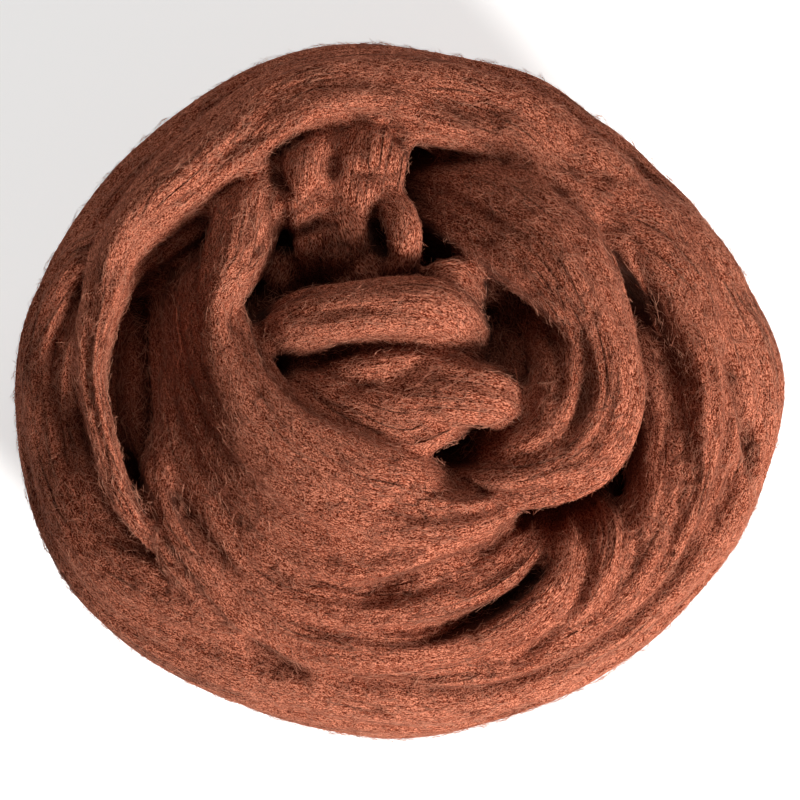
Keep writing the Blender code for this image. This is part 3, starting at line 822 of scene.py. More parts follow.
def carve(points, normals):
    """How deep the seen creases cut at each point, in millimetres."""
    depth = np.zeros(len(points))
    top = np.flatnonzero(normals[:, 2] > 0.0)
    plan = points[top, :2]
    for deep, width, line in CREASES:
        smooth = spline(line, CREASE_STEP, np.array)
        near = ((plan > smooth.min(0) - 3 * width) & (plan < smooth.max(0) + 3 * width)).all(axis=1)
        distance, share = line_distance(plan[near], smooth)
        where = top[near]
        depth[where] = np.maximum(depth[where], cut(distance, share, deep, width))
    return depth


def onto_form(points):
    """The points pushed onto the form from its middle, and how far out they were."""
    middle = np.array([0.0, 0.0, EQUATOR])
    x, y, z = (points - middle).T
    reach = np.interp(np.degrees(np.arctan2(y, x)) % 360, ANGLES, REACHES)
    plan = np.hypot(x / HALF_LENGTH, y / HALF_WIDTH) / reach
    rise = np.abs(z / np.where(z > 0, CROWN, BELLY))
    out = (plan ** ROUNDNESS + rise ** ROUNDNESS) ** (1 / ROUNDNESS)
    return middle + (points - middle) / out[:, None], out


def carve_sides(points):
    """How deep the creases round the flank cut at each point, in millimetres."""
    spread, out = onto_form(points)
    depth = np.zeros(len(points))
    flank = np.flatnonzero((out > FLANK_FROM) & (points[:, 2] < EQUATOR))
    for start, end, low, high, deep, width in SIDE_CREASES:
        line = []
        for azimuth in np.arange(start, end + 1, CREASE_STEP):
            share = (azimuth - start) / (end - start)
            latitude = low + (high - low) * share + SWAY * math.sin(azimuth / SWAY_LENGTH + low)
            line.append(on_turn((azimuth, latitude)))
        distance, share = line_distance(spread[flank], line)
        depth[flank] = np.maximum(depth[flank], cut(distance, share, deep, width))
    return depth


def thinned(mesh, keep):
    """The mesh with only this share of its triangles, fewest where it is smooth."""
    obj = spawn("thinned", mesh)
    obj.modifiers.new("thin", "DECIMATE").ratio = keep
    return evaluated_mesh(obj)


def evened(mesh, values, rounds):
    """The vertex values, averaged with those of their neighbours a few times."""
    ends = np.empty(len(mesh.edges) * 2, dtype=int)
    mesh.edges.foreach_get("vertices", ends)
    a, b = ends[::2], ends[1::2]
    count = np.bincount(ends, minlength=len(values))
    for _ in range(rounds):
        around = (np.bincount(a, values[b], len(values)) + np.bincount(b, values[a], len(values)))
        values = 0.5 * values + 0.5 * around / count
    return values


def ray_tree(mesh):
    """What is needed to send rays at a mesh."""
    bm = bmesh.new()
    bm.from_mesh(mesh)
    tree = BVHTree.FromBMesh(bm)
    bm.free()
    return tree


def closeness(mesh, rays, reach):
    """How much of the sky over each vertex other wool closes off, from 0 to 1."""
    tree = ray_tree(mesh)
    turn = math.pi * (3 - math.sqrt(5))
    sky = []
    for k in range(rays):
        out = math.sqrt((k + 0.5) / rays)
        sky.append(Vector((out * math.cos(k * turn), out * math.sin(k * turn), math.sqrt(1 - out * out))))
    closed = np.zeros(len(mesh.vertices))
    for k, vert in enumerate(mesh.vertices):
        if vert.normal.z < UNDERSIDE:
            continue
        start = vert.co + vert.normal * SKY_START
        turned = vert.normal.to_track_quat("Z", "X")
        for direction in sky:
            hit = tree.ray_cast(start, turned @ direction, reach)
            if hit[0] is not None:
                closed[k] += (1 - FAR_LESS * hit[3] / reach) / rays
    return closed


def vertex_rows(mesh, what):
    """The places or the normals of a mesh's vertices, one row each."""
    values = np.empty(len(mesh.vertices) * 3)
    mesh.vertices.foreach_get(what, values)
    return values.reshape(-1, 3)


def wound_roving(sizes):
    """The ball's soft skin, carved, with its surface map, combed ways and how closed in it is, which
    paints shade into its colour.
    """
    names = [*TURNS, *FOLDS]
    strands = [Strand(name, sizes) for name in names]
    mesh = joined_skin(strands, sizes)
    points, normals = vertex_rows(mesh, "co") / MM, vertex_rows(mesh, "normal")
    depth = evened(mesh, np.maximum(carve(points, normals), carve_sides(points)), sizes.even)
    out = np.array([outward(point) for point in points])
    points -= unit(CARVE_UP * normals + (1 - CARVE_UP) * out) * depth[:, None]
    points[:, 2] = np.maximum(points[:, 2], 0.0)
    mesh.vertices.foreach_set("co", (points * MM).ravel())
    # The crease depth is kept with each vertex to paint shade into the creases.
    add_attribute(mesh, "crease", "FLOAT", depth)
    mesh = thinned(mesh, sizes.keep)
    points = vertex_rows(mesh, "co") / MM
    maps = [strand.surface_map(points) for strand in strands]
    off = np.stack([m[1] for m in maps])
    own = np.argmin(off, axis=0)
    tangent = np.stack([m[2] for m in maps])[own, np.arange(len(points))]
    corner = np.empty(len(mesh.loops), dtype=int)
    mesh.loops.foreach_get("vertex_index", corner)
    starts = np.empty(len(mesh.polygons), dtype=int)
    mesh.polygons.foreach_get("loop_start", starts)
    label = np.repeat(own[corner[starts]], np.diff(np.append(starts, len(corner))))
    local = np.stack([m[0] for m in maps])[label, corner]
    local[:, 1] += label * LABEL_STEP
    add_attribute(mesh, "strand_place", "FLOAT_VECTOR", local * MM, "CORNER")
    way = unit(np.stack([evened(mesh, tangent[:, k], sizes.even_way) for k in range(3)], -1) + 1e-9)
    add_attribute(mesh, "fibre_way", "FLOAT_VECTOR", way)
    mesh.update()
    # How closed in each vertex is, found by rays; it darkens the wool's colour as painted shade in the
    # hollows.
    add_attribute(mesh, "closed", "FLOAT", evened(mesh, closeness(mesh, sizes.sky_rays, SKY_REACH), 1))
    mesh.shade_smooth()
    mesh.update()
    return mesh


def add_attribute(mesh, name, kind, values, domain="POINT"):
    """Keep a number or a direction with each vertex or corner."""
    made = mesh.attributes.new(name, kind, domain)
    made.data.foreach_set("vector" if kind == "FLOAT_VECTOR" else "value", np.ravel(values))


def add_piece(name, mesh, material):
    """Put a finished piece into the scene on the ball's body, in place of the plain solid."""
    mesh.materials.clear()
    mesh.materials.append(material)
    obj = spawn(name, mesh)
    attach(obj, "root")
    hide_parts(NODE)
    return obj


# ---------------------------------------------------------------- node helpers
def add_node(tree, kind, inputs=None, **settings):
    """A node with its settings and its unlinked or linked inputs."""
    node = tree.nodes.new(kind)
    for key, value in settings.items():
        setattr(node, key, value)
    for key, value in (inputs or {}).items():
        if isinstance(value, bpy.types.NodeSocket):
            tree.links.new(value, node.inputs[key])
        else:
            node.inputs[key].default_value = value
    return node


def calc(tree, operation, a, b=0.0, c=0.0):
    """One step of arithmetic."""
    return add_node(tree, "ShaderNodeMath", {0: a, 1: b, 2: c}, operation=operation).outputs[0]


def vector_calc(tree, operation, a, b=(0, 0, 0), scale=None):
    """One step of vector arithmetic."""
    inputs = {0: a, 1: b}
    if scale is not None:
        inputs["Scale"] = scale
    return add_node(tree, "ShaderNodeVectorMath", inputs, operation=operation).outputs[0]


def group_tree(name, kind, inputs, outputs):
    """An empty node group with the named sockets."""
    tree = bpy.data.node_groups.new(name, kind)
    for label, socket, default in inputs:
        made = tree.interface.new_socket(label, in_out="INPUT", socket_type=socket)
        if default is not None:
            made.default_value = default
    for label, socket in outputs:
        tree.interface.new_socket(label, in_out="OUTPUT", socket_type=socket)
    return tree, tree.nodes.new("NodeGroupInput"), tree.nodes.new("NodeGroupOutput")


# ---------------------------------------------------------------- the finish
def combed_grain():
    """Crimped fibres along the strand, some that stray across it, the locks and creases they form."""
    tree, given, result = group_tree(
        "Combed grain", "ShaderNodeTree",
        (("Place", "NodeSocketVector", None),
         ("Fibre Width", "NodeSocketFloat", 0.00019),
         ("Fibre Length", "NodeSocketFloat", 0.0013),
         ("Crimp", "NodeSocketFloat", 0.0008),
         ("Crimp Length", "NodeSocketFloat", 0.0022),
         ("Speck", "NodeSocketFloat", 0.00034),
         ("Lock Width", "NodeSocketFloat", 0.0011),
         ("Lock Length", "NodeSocketFloat", 0.018),
         ("Crease Width", "NodeSocketFloat", 0.0040),
         ("Crease Length", "NodeSocketFloat", 0.030)),
        (("Fibres", "NodeSocketFloat"), ("Locks", "NodeSocketFloat"), ("Creases", "NodeSocketFloat")))
    place = given.outputs["Place"]

    def cloud(vector, length, width, detail=0.0):
        size = add_node(tree, "ShaderNodeCombineXYZ", {
            "X": calc(tree, "DIVIDE", 1.0, length), "Y": calc(tree, "DIVIDE", 1.0, width),
            "Z": calc(tree, "DIVIDE", 1.0, width)}).outputs[0]
        return add_node(tree, "ShaderNodeTexNoise", {
            "Vector": vector_calc(tree, "MULTIPLY", vector, size), "Scale": 1.0, "Detail": detail})

    def ranged(value, low, high):
        return add_node(tree, "ShaderNodeMapRange", {
            "Value": value, "From Min": low, "From Max": high}).outputs[0]

    crimp_length = given.outputs["Crimp Length"]
    wander = vector_calc(tree, "SUBTRACT", cloud(
        place, crimp_length, crimp_length, 1.0).outputs["Color"], (0.5, 0.5, 0.5))
    wander = vector_calc(tree, "SCALE", wander, scale=given.outputs["Crimp"])
    bent = vector_calc(tree, "ADD", place, wander)
    width, length = given.outputs["Fibre Width"], given.outputs["Fibre Length"]
    combed = cloud(bent, length, width).outputs[0]
    stray = []
    for turn in (0.5, -0.6):    # fibres that lie askew, to the left and to the right
        turned = add_node(tree, "ShaderNodeVectorRotate", {
            "Vector": bent, "Angle": turn}, rotation_type="Z_AXIS").outputs[0]
        stray.append(cloud(turned, length, width).outputs[0])
    across = calc(tree, "MAXIMUM", stray[0], stray[1])
    speck = cloud(place, given.outputs["Speck"], given.outputs["Speck"]).outputs[0]
    combed_part, across_part, speck_part = 0.34, 0.24, 0.42
    mixed = calc(tree, "ADD", calc(tree, "MULTIPLY", combed, combed_part),
                 calc(tree, "MULTIPLY", across, across_part))
    mixed = calc(tree, "ADD", mixed, calc(tree, "MULTIPLY", speck, speck_part))
    tree.links.new(ranged(mixed, 0.40, 0.60), result.inputs["Fibres"])
    locks = cloud(place, given.outputs["Lock Length"], given.outputs["Lock Width"], 2.0).outputs[0]
    tree.links.new(ranged(locks, 0.32, 0.68), result.inputs["Locks"])
    # Crease lines: they dent the bump, and the wool darkens its colour along them as painted shade.
    folds = cloud(place, given.outputs["Crease Length"], given.outputs["Crease Width"], 1.0).outputs[0]
    sharp, patch_length, patch_width = 14.0, 0.03, 0.012
    ridged = calc(tree, "SUBTRACT", 1.0, calc(tree, "MULTIPLY", calc(
        tree, "ABSOLUTE", calc(tree, "SUBTRACT", folds, 0.5)), sharp))
    patches = ranged(cloud(place, patch_length, patch_width, 1.0).outputs[0], 0.47, 0.60)
    lines = calc(tree, "MULTIPLY", calc(tree, "MAXIMUM", ridged, 0.0), patches)
    tree.links.new(lines, result.inputs["Creases"])
    return tree


def wool_material(name, grain, colours):
    """Matt dyed wool: crimped fibres in their own tones, soft sheen, and painted shade that darkens its
    creases and closed-in hollows.
    """
    material = bpy.data.materials.new(name)
    material.use_nodes = True
    tree = material.node_tree
    shader = tree.nodes["Principled BSDF"]
    place = add_node(tree, "ShaderNodeTexCoord").outputs["Object"]
    group = tree.nodes.new("ShaderNodeGroup")
    group.node_tree = grain
    tree.links.new(add_node(tree, "ShaderNodeAttribute", attribute_name="strand_place").outputs["Vector"],
                   group.inputs["Place"])
    fibres, locks, lines = (group.outputs[name] for name in ("Fibres", "Locks", "Creases"))
    patches = add_node(tree, "ShaderNodeTexNoise", {
        "Vector": place, "Scale": 38.0, "Detail": 2.0}).outputs[0]
    shade = fibres
    for variation, strength in ((patches, 0.35), (locks, 0.22)):
        shade = calc(tree, "ADD", shade, calc(
            tree, "MULTIPLY", calc(tree, "SUBTRACT", variation, 0.5), strength))
    ramp = add_node(tree, "ShaderNodeValToRGB", {"Fac": shade})
    ramp.color_ramp.elements[0].color = (*colours.deep, 1)
    ramp.color_ramp.elements[1].color = (*colours.light, 1)
    middle = ramp.color_ramp.elements.new(0.5)
    middle.color = (*colours.body, 1)
    # Painted shade: the colour is mixed towards the hidden colour by the crease depth, by how closed in
    # the skin is and along the grain's crease lines, standing for the shade that falls in them.
    crease = add_node(tree, "ShaderNodeAttribute", attribute_name="crease").outputs["Fac"]
    closed = add_node(tree, "ShaderNodeAttribute", attribute_name="closed").outputs["Fac"]
    crease_shade, open_enough, closed_shade, line_shade, darkest_shade = 0.20, 0.13, 1.55, 0.6, 0.9
    shadow = calc(tree, "ADD", calc(tree, "MULTIPLY", crease, crease_shade), calc(
        tree, "MULTIPLY", calc(tree, "SUBTRACT", closed, open_enough), closed_shade))
    shadow = calc(tree, "MAXIMUM", shadow, calc(tree, "MULTIPLY", lines, line_shade))
    darker = add_node(tree, "ShaderNodeMix", {
        "Factor": calc(tree, "MINIMUM", shadow, darkest_shade),
        6: ramp.outputs["Color"], 7: (*colours.hidden, 1)}, data_type="RGBA")
    tree.links.new(darker.outputs[2], shader.inputs["Base Color"])
    fibre_rise, lock_rise, line_fall = 0.12, 0.35, 0.6
    height = calc(tree, "ADD", calc(tree, "MULTIPLY", fibres, fibre_rise),
                  calc(tree, "MULTIPLY", locks, lock_rise))
    height = calc(tree, "SUBTRACT", height, calc(tree, "MULTIPLY", lines, line_fall))
    bump = add_node(tree, "ShaderNodeBump", {"Height": height, "Strength": 0.9, "Distance": 0.0010})
    tree.links.new(bump.outputs["Normal"], shader.inputs["Normal"])
    shader.inputs["Roughness"].default_value = 0.9
    shader.inputs["Metallic"].default_value = 0.0
    shader.inputs["Specular IOR Level"].default_value = 0.08
    shader.inputs["Sheen Weight"].default_value = colours.sheen
    shader.inputs["Sheen Roughness"].default_value = 0.45
    shader.inputs["Sheen Tint"].default_value = (1.0, 0.55, 0.40, 1.0)
    return material


def fibre_material(colours):
    """Single loose fibres, paler than the combed body."""
    material = bpy.data.materials.new("loose_fibre")
    material.use_nodes = True
    tree = material.node_tree
    shader = tree.nodes["Principled BSDF"]
    pale = add_node(tree, "ShaderNodeAttribute", attribute_name="pale").outputs["Fac"]
    ramp = add_node(tree, "ShaderNodeValToRGB", {"Fac": pale})
    ramp.color_ramp.elements[0].color = (*colours.body, 1)
    ramp.color_ramp.elements[1].color = (*colours.fibre, 1)
    tree.links.new(ramp.outputs["Color"], shader.inputs["Base Color"])
    shader.inputs["Roughness"].default_value = 0.6
    shader.inputs["Specular IOR Level"].default_value = 0.3
    return material


# ---------------------------------------------------------------- loose fibres
def fibre_tree():
    """Geometry nodes that comb short fibres over the open faces of a piece."""
    tree, given, result = group_tree(
        "Loose fibres", "GeometryNodeTree",
        (("Geometry", "NodeSocketGeometry", None),
         ("Density", "NodeSocketFloat", 100000.0),
         ("Length", "NodeSocketFloat", 0.008),
         ("Curl", "NodeSocketFloat", 0.002),
         ("Lift", "NodeSocketFloat", 0.0012),
         ("Thickness", "NodeSocketFloat", 0.00004),
         ("Stray Angle", "NodeSocketFloat", 0.6),
         ("Seed", "NodeSocketInt", 1),
         ("Material", "NodeSocketMaterial", None)),
        (("Geometry", "NodeSocketGeometry"),))

    def named(name, kind):
        return add_node(tree, "GeometryNodeInputNamedAttribute", {"Name": name}, data_type=kind)

    def spread(low, high, offset):
        seed = calc(tree, "ADD", given.outputs["Seed"], float(offset))
        return add_node(tree, "FunctionNodeRandomValue", {
            2: low, 3: high, "Seed": seed}, data_type="FLOAT").outputs[1]

    density = calc(tree, "MULTIPLY", given.outputs["Density"], named("open", "FLOAT").outputs[0])
    scatter = add_node(tree, "GeometryNodeDistributePointsOnFaces", {
        "Mesh": given.outputs["Geometry"], "Density": density, "Seed": given.outputs["Seed"]},
        distribute_method="RANDOM")
    keep = add_node(tree, "GeometryNodeStoreNamedAttribute", {
        "Geometry": scatter.outputs["Points"], "Name": "stand", "Value": scatter.outputs["Normal"]},
        data_type="FLOAT_VECTOR", domain="POINT")
    aligned = add_node(tree, "FunctionNodeAxesToRotation", {
        "Primary Axis": scatter.outputs["Normal"],
        "Secondary Axis": named("fibre_way", "FLOAT_VECTOR").outputs[0]},
        primary_axis="Z", secondary_axis="X")
    stray = calc(tree, "MULTIPLY", spread(-1.0, 1.0, 5), given.outputs["Stray Angle"])
    turned = add_node(tree, "FunctionNodeRotateRotation", {
        "Rotation": aligned.outputs[0],
        "Rotate By": add_node(tree, "FunctionNodeAxisAngleToRotation", {
            "Axis": (0, 0, 1), "Angle": stray}).outputs[0]}, rotation_space="LOCAL")
    line = add_node(tree, "GeometryNodeCurvePrimitiveLine", {
        "Start": (-0.5, 0, 0), "End": (0.5, 0, 0)})
    fibre = add_node(tree, "GeometryNodeResampleCurve", {"Curve": line.outputs[0], "Count": 3})
    length = calc(tree, "MULTIPLY", given.outputs["Length"], spread(0.4, 1.5, 9))
    mostly_low = 2.5            # most fibres lie flat and few stand
    stands = calc(tree, "POWER", spread(0.0, 1.0, 13), mostly_low)
    loose = add_node(tree, "GeometryNodeStoreNamedAttribute", {
        "Geometry": keep.outputs[0], "Name": "stands", "Value": stands},
        data_type="FLOAT", domain="POINT")
    pale = add_node(tree, "GeometryNodeStoreNamedAttribute", {
        "Geometry": loose.outputs[0], "Name": "pale", "Value": spread(0.0, 1.0, 17)},
        data_type="FLOAT", domain="POINT")
    laid = add_node(tree, "GeometryNodeInstanceOnPoints", {
        "Points": pale.outputs[0], "Instance": fibre.outputs[0],
        "Rotation": turned.outputs[0], "Scale": length})
    real = add_node(tree, "GeometryNodeRealizeInstances", {"Geometry": laid.outputs[0]})
    factor = add_node(tree, "GeometryNodeSplineParameter").outputs[0]
    position = add_node(tree, "GeometryNodeInputPosition").outputs[0]
    bend = add_node(tree, "ShaderNodeTexNoise", {
        "Vector": position, "Scale": 260.0, "Detail": 1.0}).outputs["Color"]
    curl = vector_calc(tree, "SCALE", vector_calc(tree, "SUBTRACT", bend, (0.5, 0.5, 0.5)),
                       scale=given.outputs["Curl"])
    held = 0.3                  # a fibre is held here along its length
    tip = calc(tree, "ABSOLUTE", calc(tree, "SUBTRACT", factor, held))
    reach = calc(tree, "MULTIPLY", given.outputs["Lift"], named("stands", "FLOAT").outputs[0])
    rise = calc(tree, "ADD", calc(tree, "MULTIPLY", reach, tip), given.outputs["Thickness"])
    lift = vector_calc(tree, "SCALE", named("stand", "FLOAT_VECTOR").outputs[0], scale=rise)
    bent = add_node(tree, "GeometryNodeSetPosition", {
        "Geometry": real.outputs[0], "Offset": vector_calc(tree, "ADD", curl, lift)})
    thinner = 1.5               # how fast it thins towards its ends
    fine = calc(tree, "SUBTRACT", 1.0, calc(tree, "MULTIPLY", calc(tree, "ABSOLUTE", calc(
        tree, "SUBTRACT", factor, 0.5)), thinner))
    bent = add_node(tree, "GeometryNodeSetCurveRadius", {"Curve": bent.outputs[0], "Radius": fine})
    profile = add_node(tree, "GeometryNodeCurvePrimitiveCircle", {
        "Resolution": 3, "Radius": given.outputs["Thickness"]})
    solid = add_node(tree, "GeometryNodeCurveToMesh", {
        "Curve": bent.outputs[0], "Profile Curve": profile.outputs["Curve"], "Fill Caps": True})
    final = add_node(tree, "GeometryNodeRealizeInstances", {"Geometry": solid.outputs[0]})
    dyed = add_node(tree, "GeometryNodeSetMaterial", {
        "Geometry": final.outputs[0], "Material": given.outputs["Material"]})
    tree.links.new(dyed.outputs[0], result.inputs[0])
    return tree


def grow(name, tree, source, values):
    """Plain mesh that the node tree makes from a source mesh."""
    holder = spawn(name + "_source", source)
    modifier = holder.modifiers.new("grow", "NODES")
    modifier.node_group = tree
    for item in tree.interface.items_tree:
        if item.item_type == "SOCKET" and item.in_out == "INPUT" and item.name in values:
            modifier[item.identifier] = values[item.name]
    mesh = evaluated_mesh(holder)
    mesh.name = name
    return mesh


def mark_open(mesh, reach):
    """Mark the vertices that nothing covers, where loose fibres may grow."""
    tree = ray_tree(mesh)
    lift, lowest, on_sides, more_on_top = 0.0012, 0.002, 0.35, 0.65
    values = np.zeros(len(mesh.vertices))
    for k, vert in enumerate(mesh.vertices):
        start = vert.co + vert.normal * lift
        if start.z > lowest and tree.ray_cast(start, vert.normal, reach)[0] is None:
            values[k] = on_sides + more_on_top * max(vert.normal.z, 0.0)
    add_attribute(mesh, "open", "FLOAT", values)


def wisp_mesh(sizes):
    """Long single fibres lying loose on the ball."""
    curve = bpy.data.curves.new("wisps", "CURVE")
    curve.dimensions = "3D"
    curve.bevel_depth = sizes.wisp_thickness / 2
    curve.bevel_resolution = 0
    curve.use_fill_caps = True
    rng = np.random.default_rng(5)
    for x0, y0, x1, y1, x2, y2 in WISPS:
        line = curve.splines.new("POLY")
        line.points.add(WISP_STEPS)
        wave = rng.uniform(0, 2 * math.pi, 2)
        for k in range(WISP_STEPS + 1):
            t = k / WISP_STEPS
            x = x0 * (1 - t) ** 2 + 2 * x1 * t * (1 - t) + x2 * t ** 2
            y = y0 * (1 - t) ** 2 + 2 * y1 * t * (1 - t) + y2 * t ** 2
            x += WISP_WAVE * math.sin(WISP_WAVES[0] * t + wave[0])
            y += WISP_WAVE * math.sin(WISP_WAVES[1] * t + wave[1])
            top = on_top((x, y))
            line.points[k].co = (*(Vector(top) * MM + Vector((0, 0, WISP_LIFT * MM))), 1)
    return evaluated_mesh(spawn("wisps_source", curve))


# ---------------------------------------------------------------- settings
class RovingSizes(bpy.types.PropertyGroup):
    """Sizes of the strand's relief and of its skin."""
    ring_gap: bpy.props.FloatProperty(
        name="Ring gap", description="Distance between rings along a strand", default=0.0021,
        min=0.0005, unit="LENGTH", precision=5)
    point_gap: bpy.props.FloatProperty(
        name="Point gap", description="Distance between points around a strand", default=0.00095,
        min=0.0003, unit="LENGTH", precision=5)
    pleat_every: bpy.props.FloatProperty(
        name="Pleat every", description="Surface that holds one pleat", default=0.00042,
        min=0.00005, unit="AREA", precision=6)
    pleat_depth: bpy.props.FloatProperty(
        name="Pleat depth", description="Depth of the deepest pleats", default=0.0026,
        min=0.0, unit="LENGTH", precision=5)
    lump: bpy.props.FloatProperty(
        name="Lump", description="Height of the soft unevenness", default=0.0009,
        min=0.0, unit="LENGTH", precision=5)
    ridge: bpy.props.FloatProperty(
        name="Ridge", description="Height of the long ridges", default=0.0009,
        min=0.0, unit="LENGTH", precision=5)
    lock: bpy.props.FloatProperty(
        name="Lock", description="Height of the finer locks", default=0.00016,
        min=0.0, unit="LENGTH", precision=5)
    fibre: bpy.props.FloatProperty(
        name="Fibre", description="Height of the finest modelled grain", default=0.0,
        min=0.0, unit="LENGTH", precision=5)
    skin_mesh: bpy.props.FloatProperty(
        name="Skin mesh", description="Mesh size of the joined skin", default=0.00115,
        min=0.0005, unit="LENGTH", precision=5)
    soften: bpy.props.IntProperty(
        name="Soften", description="How often the joined skin is smoothed", default=4, min=0)
    even: bpy.props.IntProperty(
        name="Even", description="How often the creases are evened out", default=2, min=0)
    even_way: bpy.props.IntProperty(
        name="Even way", description="How often the combed way is evened out", default=10, min=0)
    keep: bpy.props.FloatProperty(
        name="Keep", description="Share of the skin's triangles that is kept", subtype="FACTOR",
        default=0.64, min=0.05, max=1.0)
    sky_rays: bpy.props.IntProperty(
        name="Sky rays", description="Rays that find how closed in each spot is", default=20, min=4)
    wisp_thickness: bpy.props.FloatProperty(
        name="Wisp thickness", description="Thickness of a long loose fibre", default=0.0001,
        unit="LENGTH", precision=5)


class RovingColours(bpy.types.PropertyGroup):
    """Colours of the dyed wool, and of the shade painted into its gaps and creases."""
    deep: bpy.props.FloatVectorProperty(
        name="Deep", description="Colour between the fibres", subtype="COLOR",
        default=(0.085, 0.008, 0.002), min=0.0, max=1.0)
    body: bpy.props.FloatVectorProperty(
        name="Body", description="Main colour of the combed wool", subtype="COLOR",
        default=(0.30, 0.064, 0.029), min=0.0, max=1.0)
    light: bpy.props.FloatVectorProperty(
        name="Light", description="Colour of the fibres that catch the light", subtype="COLOR",
        default=(0.74, 0.265, 0.160), min=0.0, max=1.0)
    # Painted shade: the colour that the wool is mixed towards where it is creased or closed in, for the
    # shade there.
    hidden: bpy.props.FloatVectorProperty(
        name="Hidden", description="Colour deep in the gaps and creases", subtype="COLOR",
        default=(0.02, 0.004, 0.002), min=0.0, max=1.0)
    fibre: bpy.props.FloatVectorProperty(
        name="Fibre", description="Colour of single loose fibres", subtype="COLOR",
        default=(0.76, 0.34, 0.215), min=0.0, max=1.0)
    sheen: bpy.props.FloatProperty(
        name="Sheen", description="Soft glow at the edges of the wool", subtype="FACTOR",
        default=0.05, min=0.0, max=1.0)


class RovingFuzz(bpy.types.PropertyGroup):
    """The short fibres that stand off the surface."""
    groups: bpy.props.IntProperty(
        name="Groups", description="Number of pieces that the fibres are made in", default=4)
    density: bpy.props.FloatProperty(
        name="Density", description="Fibres on a square metre of open surface", default=228000.0)
    length: bpy.props.FloatProperty(
        name="Length", description="Usual length of a fibre", default=0.0032, unit="LENGTH")
    clear: bpy.props.FloatProperty(
        name="Clear", description="Room that a fibre needs above it", default=0.009, unit="LENGTH")
    curl: bpy.props.FloatProperty(
        name="Curl", description="How far a fibre wanders", default=0.0036, unit="LENGTH")
    lift: bpy.props.FloatProperty(
        name="Lift", description="How far a fibre's tip stands off", default=0.0014, unit="LENGTH")
    thickness: bpy.props.FloatProperty(
        name="Thickness", description="Radius of a fibre", default=0.000048, unit="LENGTH",
        precision=6)
    stray: bpy.props.FloatProperty(
        name="Stray", description="How far a fibre turns off the combed way", default=1.1,
        subtype="ANGLE")


class RovingStage(bpy.types.PropertyGroup):
    """Camera and light."""
    camera_height: bpy.props.FloatProperty(
        name="Camera height", description="Camera above the table", default=6.0, unit="LENGTH")
    view_width: bpy.props.FloatProperty(
        name="View width", description="Width of the picture at the widest level of the ball",
        default=0.216, unit="LENGTH")
    key: bpy.props.FloatProperty(
        name="Key", description="Strength of the soft light from the lower right", default=4.85)
    back: bpy.props.FloatProperty(
        name="Back", description="Strength of the weaker light from the top", default=0.66)
    glow: bpy.props.FloatProperty(
        name="Glow", description="How much the floor's shadow is lightened for the camera",
        default=0.60, min=0.0)
    fill: bpy.props.FloatProperty(
        name="Fill", description="Strength of the light from all round", default=0.07)


# ---------------------------------------------------------------- operators
MADE = {}                       # the finishes and the skin, once they are made


class ROVING_OT_finishes(bpy.types.Operator):
    """Mix the wool's finishes"""
    bl_idname = "roving.finishes"
    bl_label = "Wool Finishes"

    def execute(self, context):
        """Make the combed wool and the loose fibre."""
        colours = context.scene.roving_colours
        MADE["wool"] = wool_material("combed_wool", combed_grain(), colours)
        MADE["fibre"] = fibre_material(colours)
        return {"FINISHED"}


class ROVING_OT_wound_roving(bpy.types.Operator):
    """Wind the strand: every turn and fold joined in one soft skin"""
    bl_idname = "roving.wound_roving"
    bl_label = "Wound Roving"

    def execute(self, context):
        """Add the skin in place of the plain solid."""
        MADE["skin"] = wound_roving(context.scene.roving_sizes)
        add_piece("wound_roving", MADE["skin"], MADE["wool"])
        return {"FINISHED"}


class ROVING_OT_loose_fibres(bpy.types.Operator):
    """Comb short loose fibres over what shows of the ball"""
    bl_idname = "roving.loose_fibres"
    bl_label = "Loose Fibres"

    def execute(self, context):
        """Grow the fibres in groups, so that no piece is too heavy."""
        fuzz = context.scene.roving_fuzz
        mark_open(MADE["skin"], fuzz.clear)
        tree = fibre_tree()
        for seed in range(1, fuzz.groups + 1):
            name = f"loose_fibres_{seed}"
            values = {"Density": fuzz.density, "Length": fuzz.length, "Curl": fuzz.curl,
                      "Lift": fuzz.lift, "Thickness": fuzz.thickness,
                      "Stray Angle": fuzz.stray, "Seed": seed, "Material": MADE["fibre"]}
            add_piece(name, grow(name, tree, MADE["skin"].copy(), values), MADE["fibre"])
        return {"FINISHED"}


class ROVING_OT_wisps(bpy.types.Operator):
    """Lay a few long pale fibres over the ball"""
    bl_idname = "roving.wisps"
    bl_label = "Long Wisps"

    def execute(self, context):
        """Add the wisps as one piece."""
        add_piece("wisps", wisp_mesh(context.scene.roving_sizes), MADE["fibre"])
        return {"FINISHED"}


def sun_light(name, strength, azimuth, height, spread, colour):
    """A wide soft light from far off, placed by its azimuth and height in degrees."""
    data = bpy.data.lights.new(name, "SUN")
    data.energy = strength
    data.angle = math.radians(spread)
    data.color = colour
    obj = spawn(name, data)
    a, e = math.radians(azimuth), math.radians(height)
    towards = Vector((math.cos(e) * math.cos(a), math.cos(e) * math.sin(a), math.sin(e)))
    obj.rotation_euler = (-towards).to_track_quat("-Z", "Y").to_euler()
    return obj


# Where each light comes from: azimuth, height and spread in degrees, then its colour.
KEY_LIGHT = (-49, 31, 16, (1.0, 0.985, 0.96))
BACK_LIGHT = (76, 36, 40, (1.0, 0.97, 0.94))
FLOOR_HALF = 3.0                # half the floor's side, in metres
FLOOR_DROP = 0.0002             # how far it lies below the ball
CAMERA_PLACE = (0.00013, -0.003)


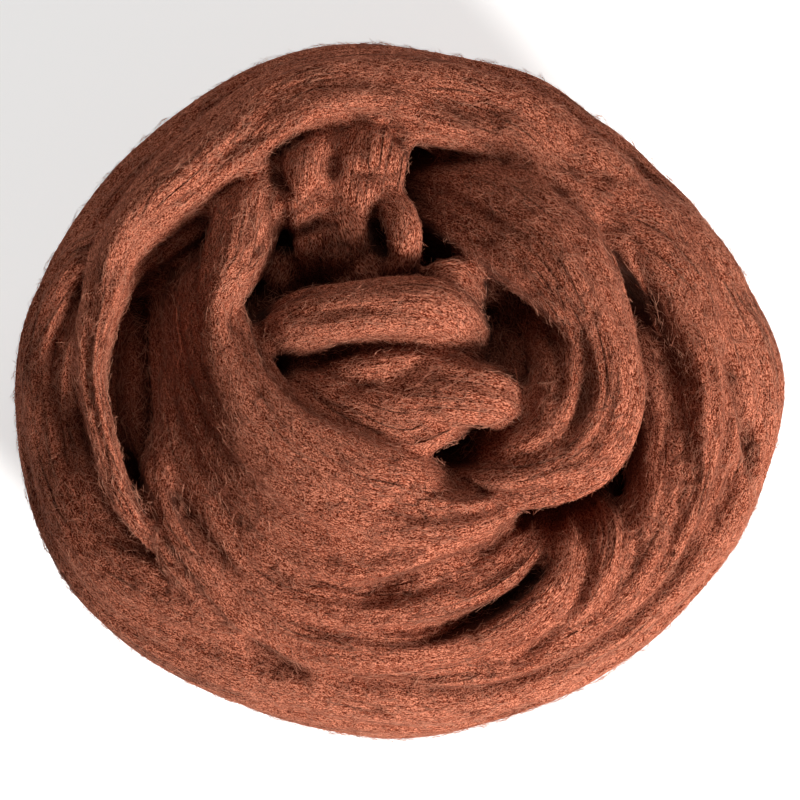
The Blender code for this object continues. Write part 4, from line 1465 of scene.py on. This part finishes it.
class ROVING_OT_stage(bpy.types.Operator):
    """Add the floor, the lights and the camera"""
    bl_idname = "roving.stage"
    bl_label = "Stage"

    def execute(self, context):
        """Lay a plain pale floor, light it softly and look straight down."""
        scene, stage = context.scene, context.scene.roving_stage
        bm = bmesh.new()
        bmesh.ops.create_grid(bm, x_segments=1, y_segments=1, size=FLOOR_HALF)
        mesh = bpy.data.meshes.new("floor")
        bm.to_mesh(mesh)
        bm.free()
        floor = spawn("floor", mesh)
        floor.location.z = -FLOOR_DROP
        material = bpy.data.materials.new("pale_floor")
        material.use_nodes = True
        shader = material.node_tree.nodes["Principled BSDF"]
        shader.inputs["Base Color"].default_value = (0.92, 0.92, 0.91, 1)
        shader.inputs["Roughness"].default_value = 0.9
        tree = material.node_tree
        seen = add_node(tree, "ShaderNodeLightPath").outputs["Is Camera Ray"]
        tree.links.new(calc(tree, "MULTIPLY", seen, stage.glow), shader.inputs["Emission Color"])
        shader.inputs["Emission Strength"].default_value = 1.0
        mesh.materials.append(material)
        world = bpy.data.worlds.new("studio")
        scene.world = world
        world.use_nodes = True
        background = world.node_tree.nodes["Background"]
        background.inputs["Color"].default_value = (1.0, 0.99, 0.97, 1)
        background.inputs["Strength"].default_value = stage.fill
        sun_light("key", stage.key, *KEY_LIGHT)
        sun_light("back", stage.back, *BACK_LIGHT)
        camera = spawn("camera", bpy.data.cameras.new("camera"))
        camera.location = (*CAMERA_PLACE, stage.camera_height)
        distance = stage.camera_height - EQUATOR * MM
        camera.data.lens = camera.data.sensor_width * distance / stage.view_width
        camera.data.clip_end = 20
        scene.camera = camera
        scene.view_settings.view_transform = "Standard"
        return {"FINISHED"}


class ROVING_PT_panel(bpy.types.Panel):
    """Lists the steps that build the ball"""
    bl_label = "Wool Roving Ball"
    bl_idname = "ROVING_PT_panel"
    bl_space_type = "VIEW_3D"
    bl_region_type = "UI"
    bl_category = "Roving"

    def draw(self, context):
        """Sizes and colours first, then one button for each step."""
        for name in ("roving_sizes", "roving_colours", "roving_fuzz", "roving_stage"):
            settings = getattr(context.scene, name)
            box = self.layout.box()
            for key in settings.__annotations__:
                box.prop(settings, key)
        for operator in OPERATORS:
            self.layout.operator(operator.bl_idname)


SETTINGS = {"roving_sizes": RovingSizes, "roving_colours": RovingColours,
            "roving_fuzz": RovingFuzz, "roving_stage": RovingStage}
OPERATORS = (ROVING_OT_finishes, ROVING_OT_wound_roving, ROVING_OT_loose_fibres,
             ROVING_OT_wisps, ROVING_OT_stage)


def register():
    """Make the settings, steps and panel known to Blender."""
    for cls in (*SETTINGS.values(), *OPERATORS, ROVING_PT_panel):
        bpy.utils.register_class(cls)
    for name, group in SETTINGS.items():
        setattr(bpy.types.Scene, name, bpy.props.PointerProperty(type=group))


def unregister():
    """Take the settings, steps and panel away again."""
    for name in SETTINGS:
        delattr(bpy.types.Scene, name)
    for cls in reversed((*SETTINGS.values(), *OPERATORS, ROVING_PT_panel)):
        bpy.utils.unregister_class(cls)


def main():
    """Build the ball and its stage."""
    register()
    for operator in OPERATORS:
        group, step = operator.bl_idname.split(".")
        getattr(getattr(bpy.ops, group), step)()


if __name__ == "__main__":
    main()
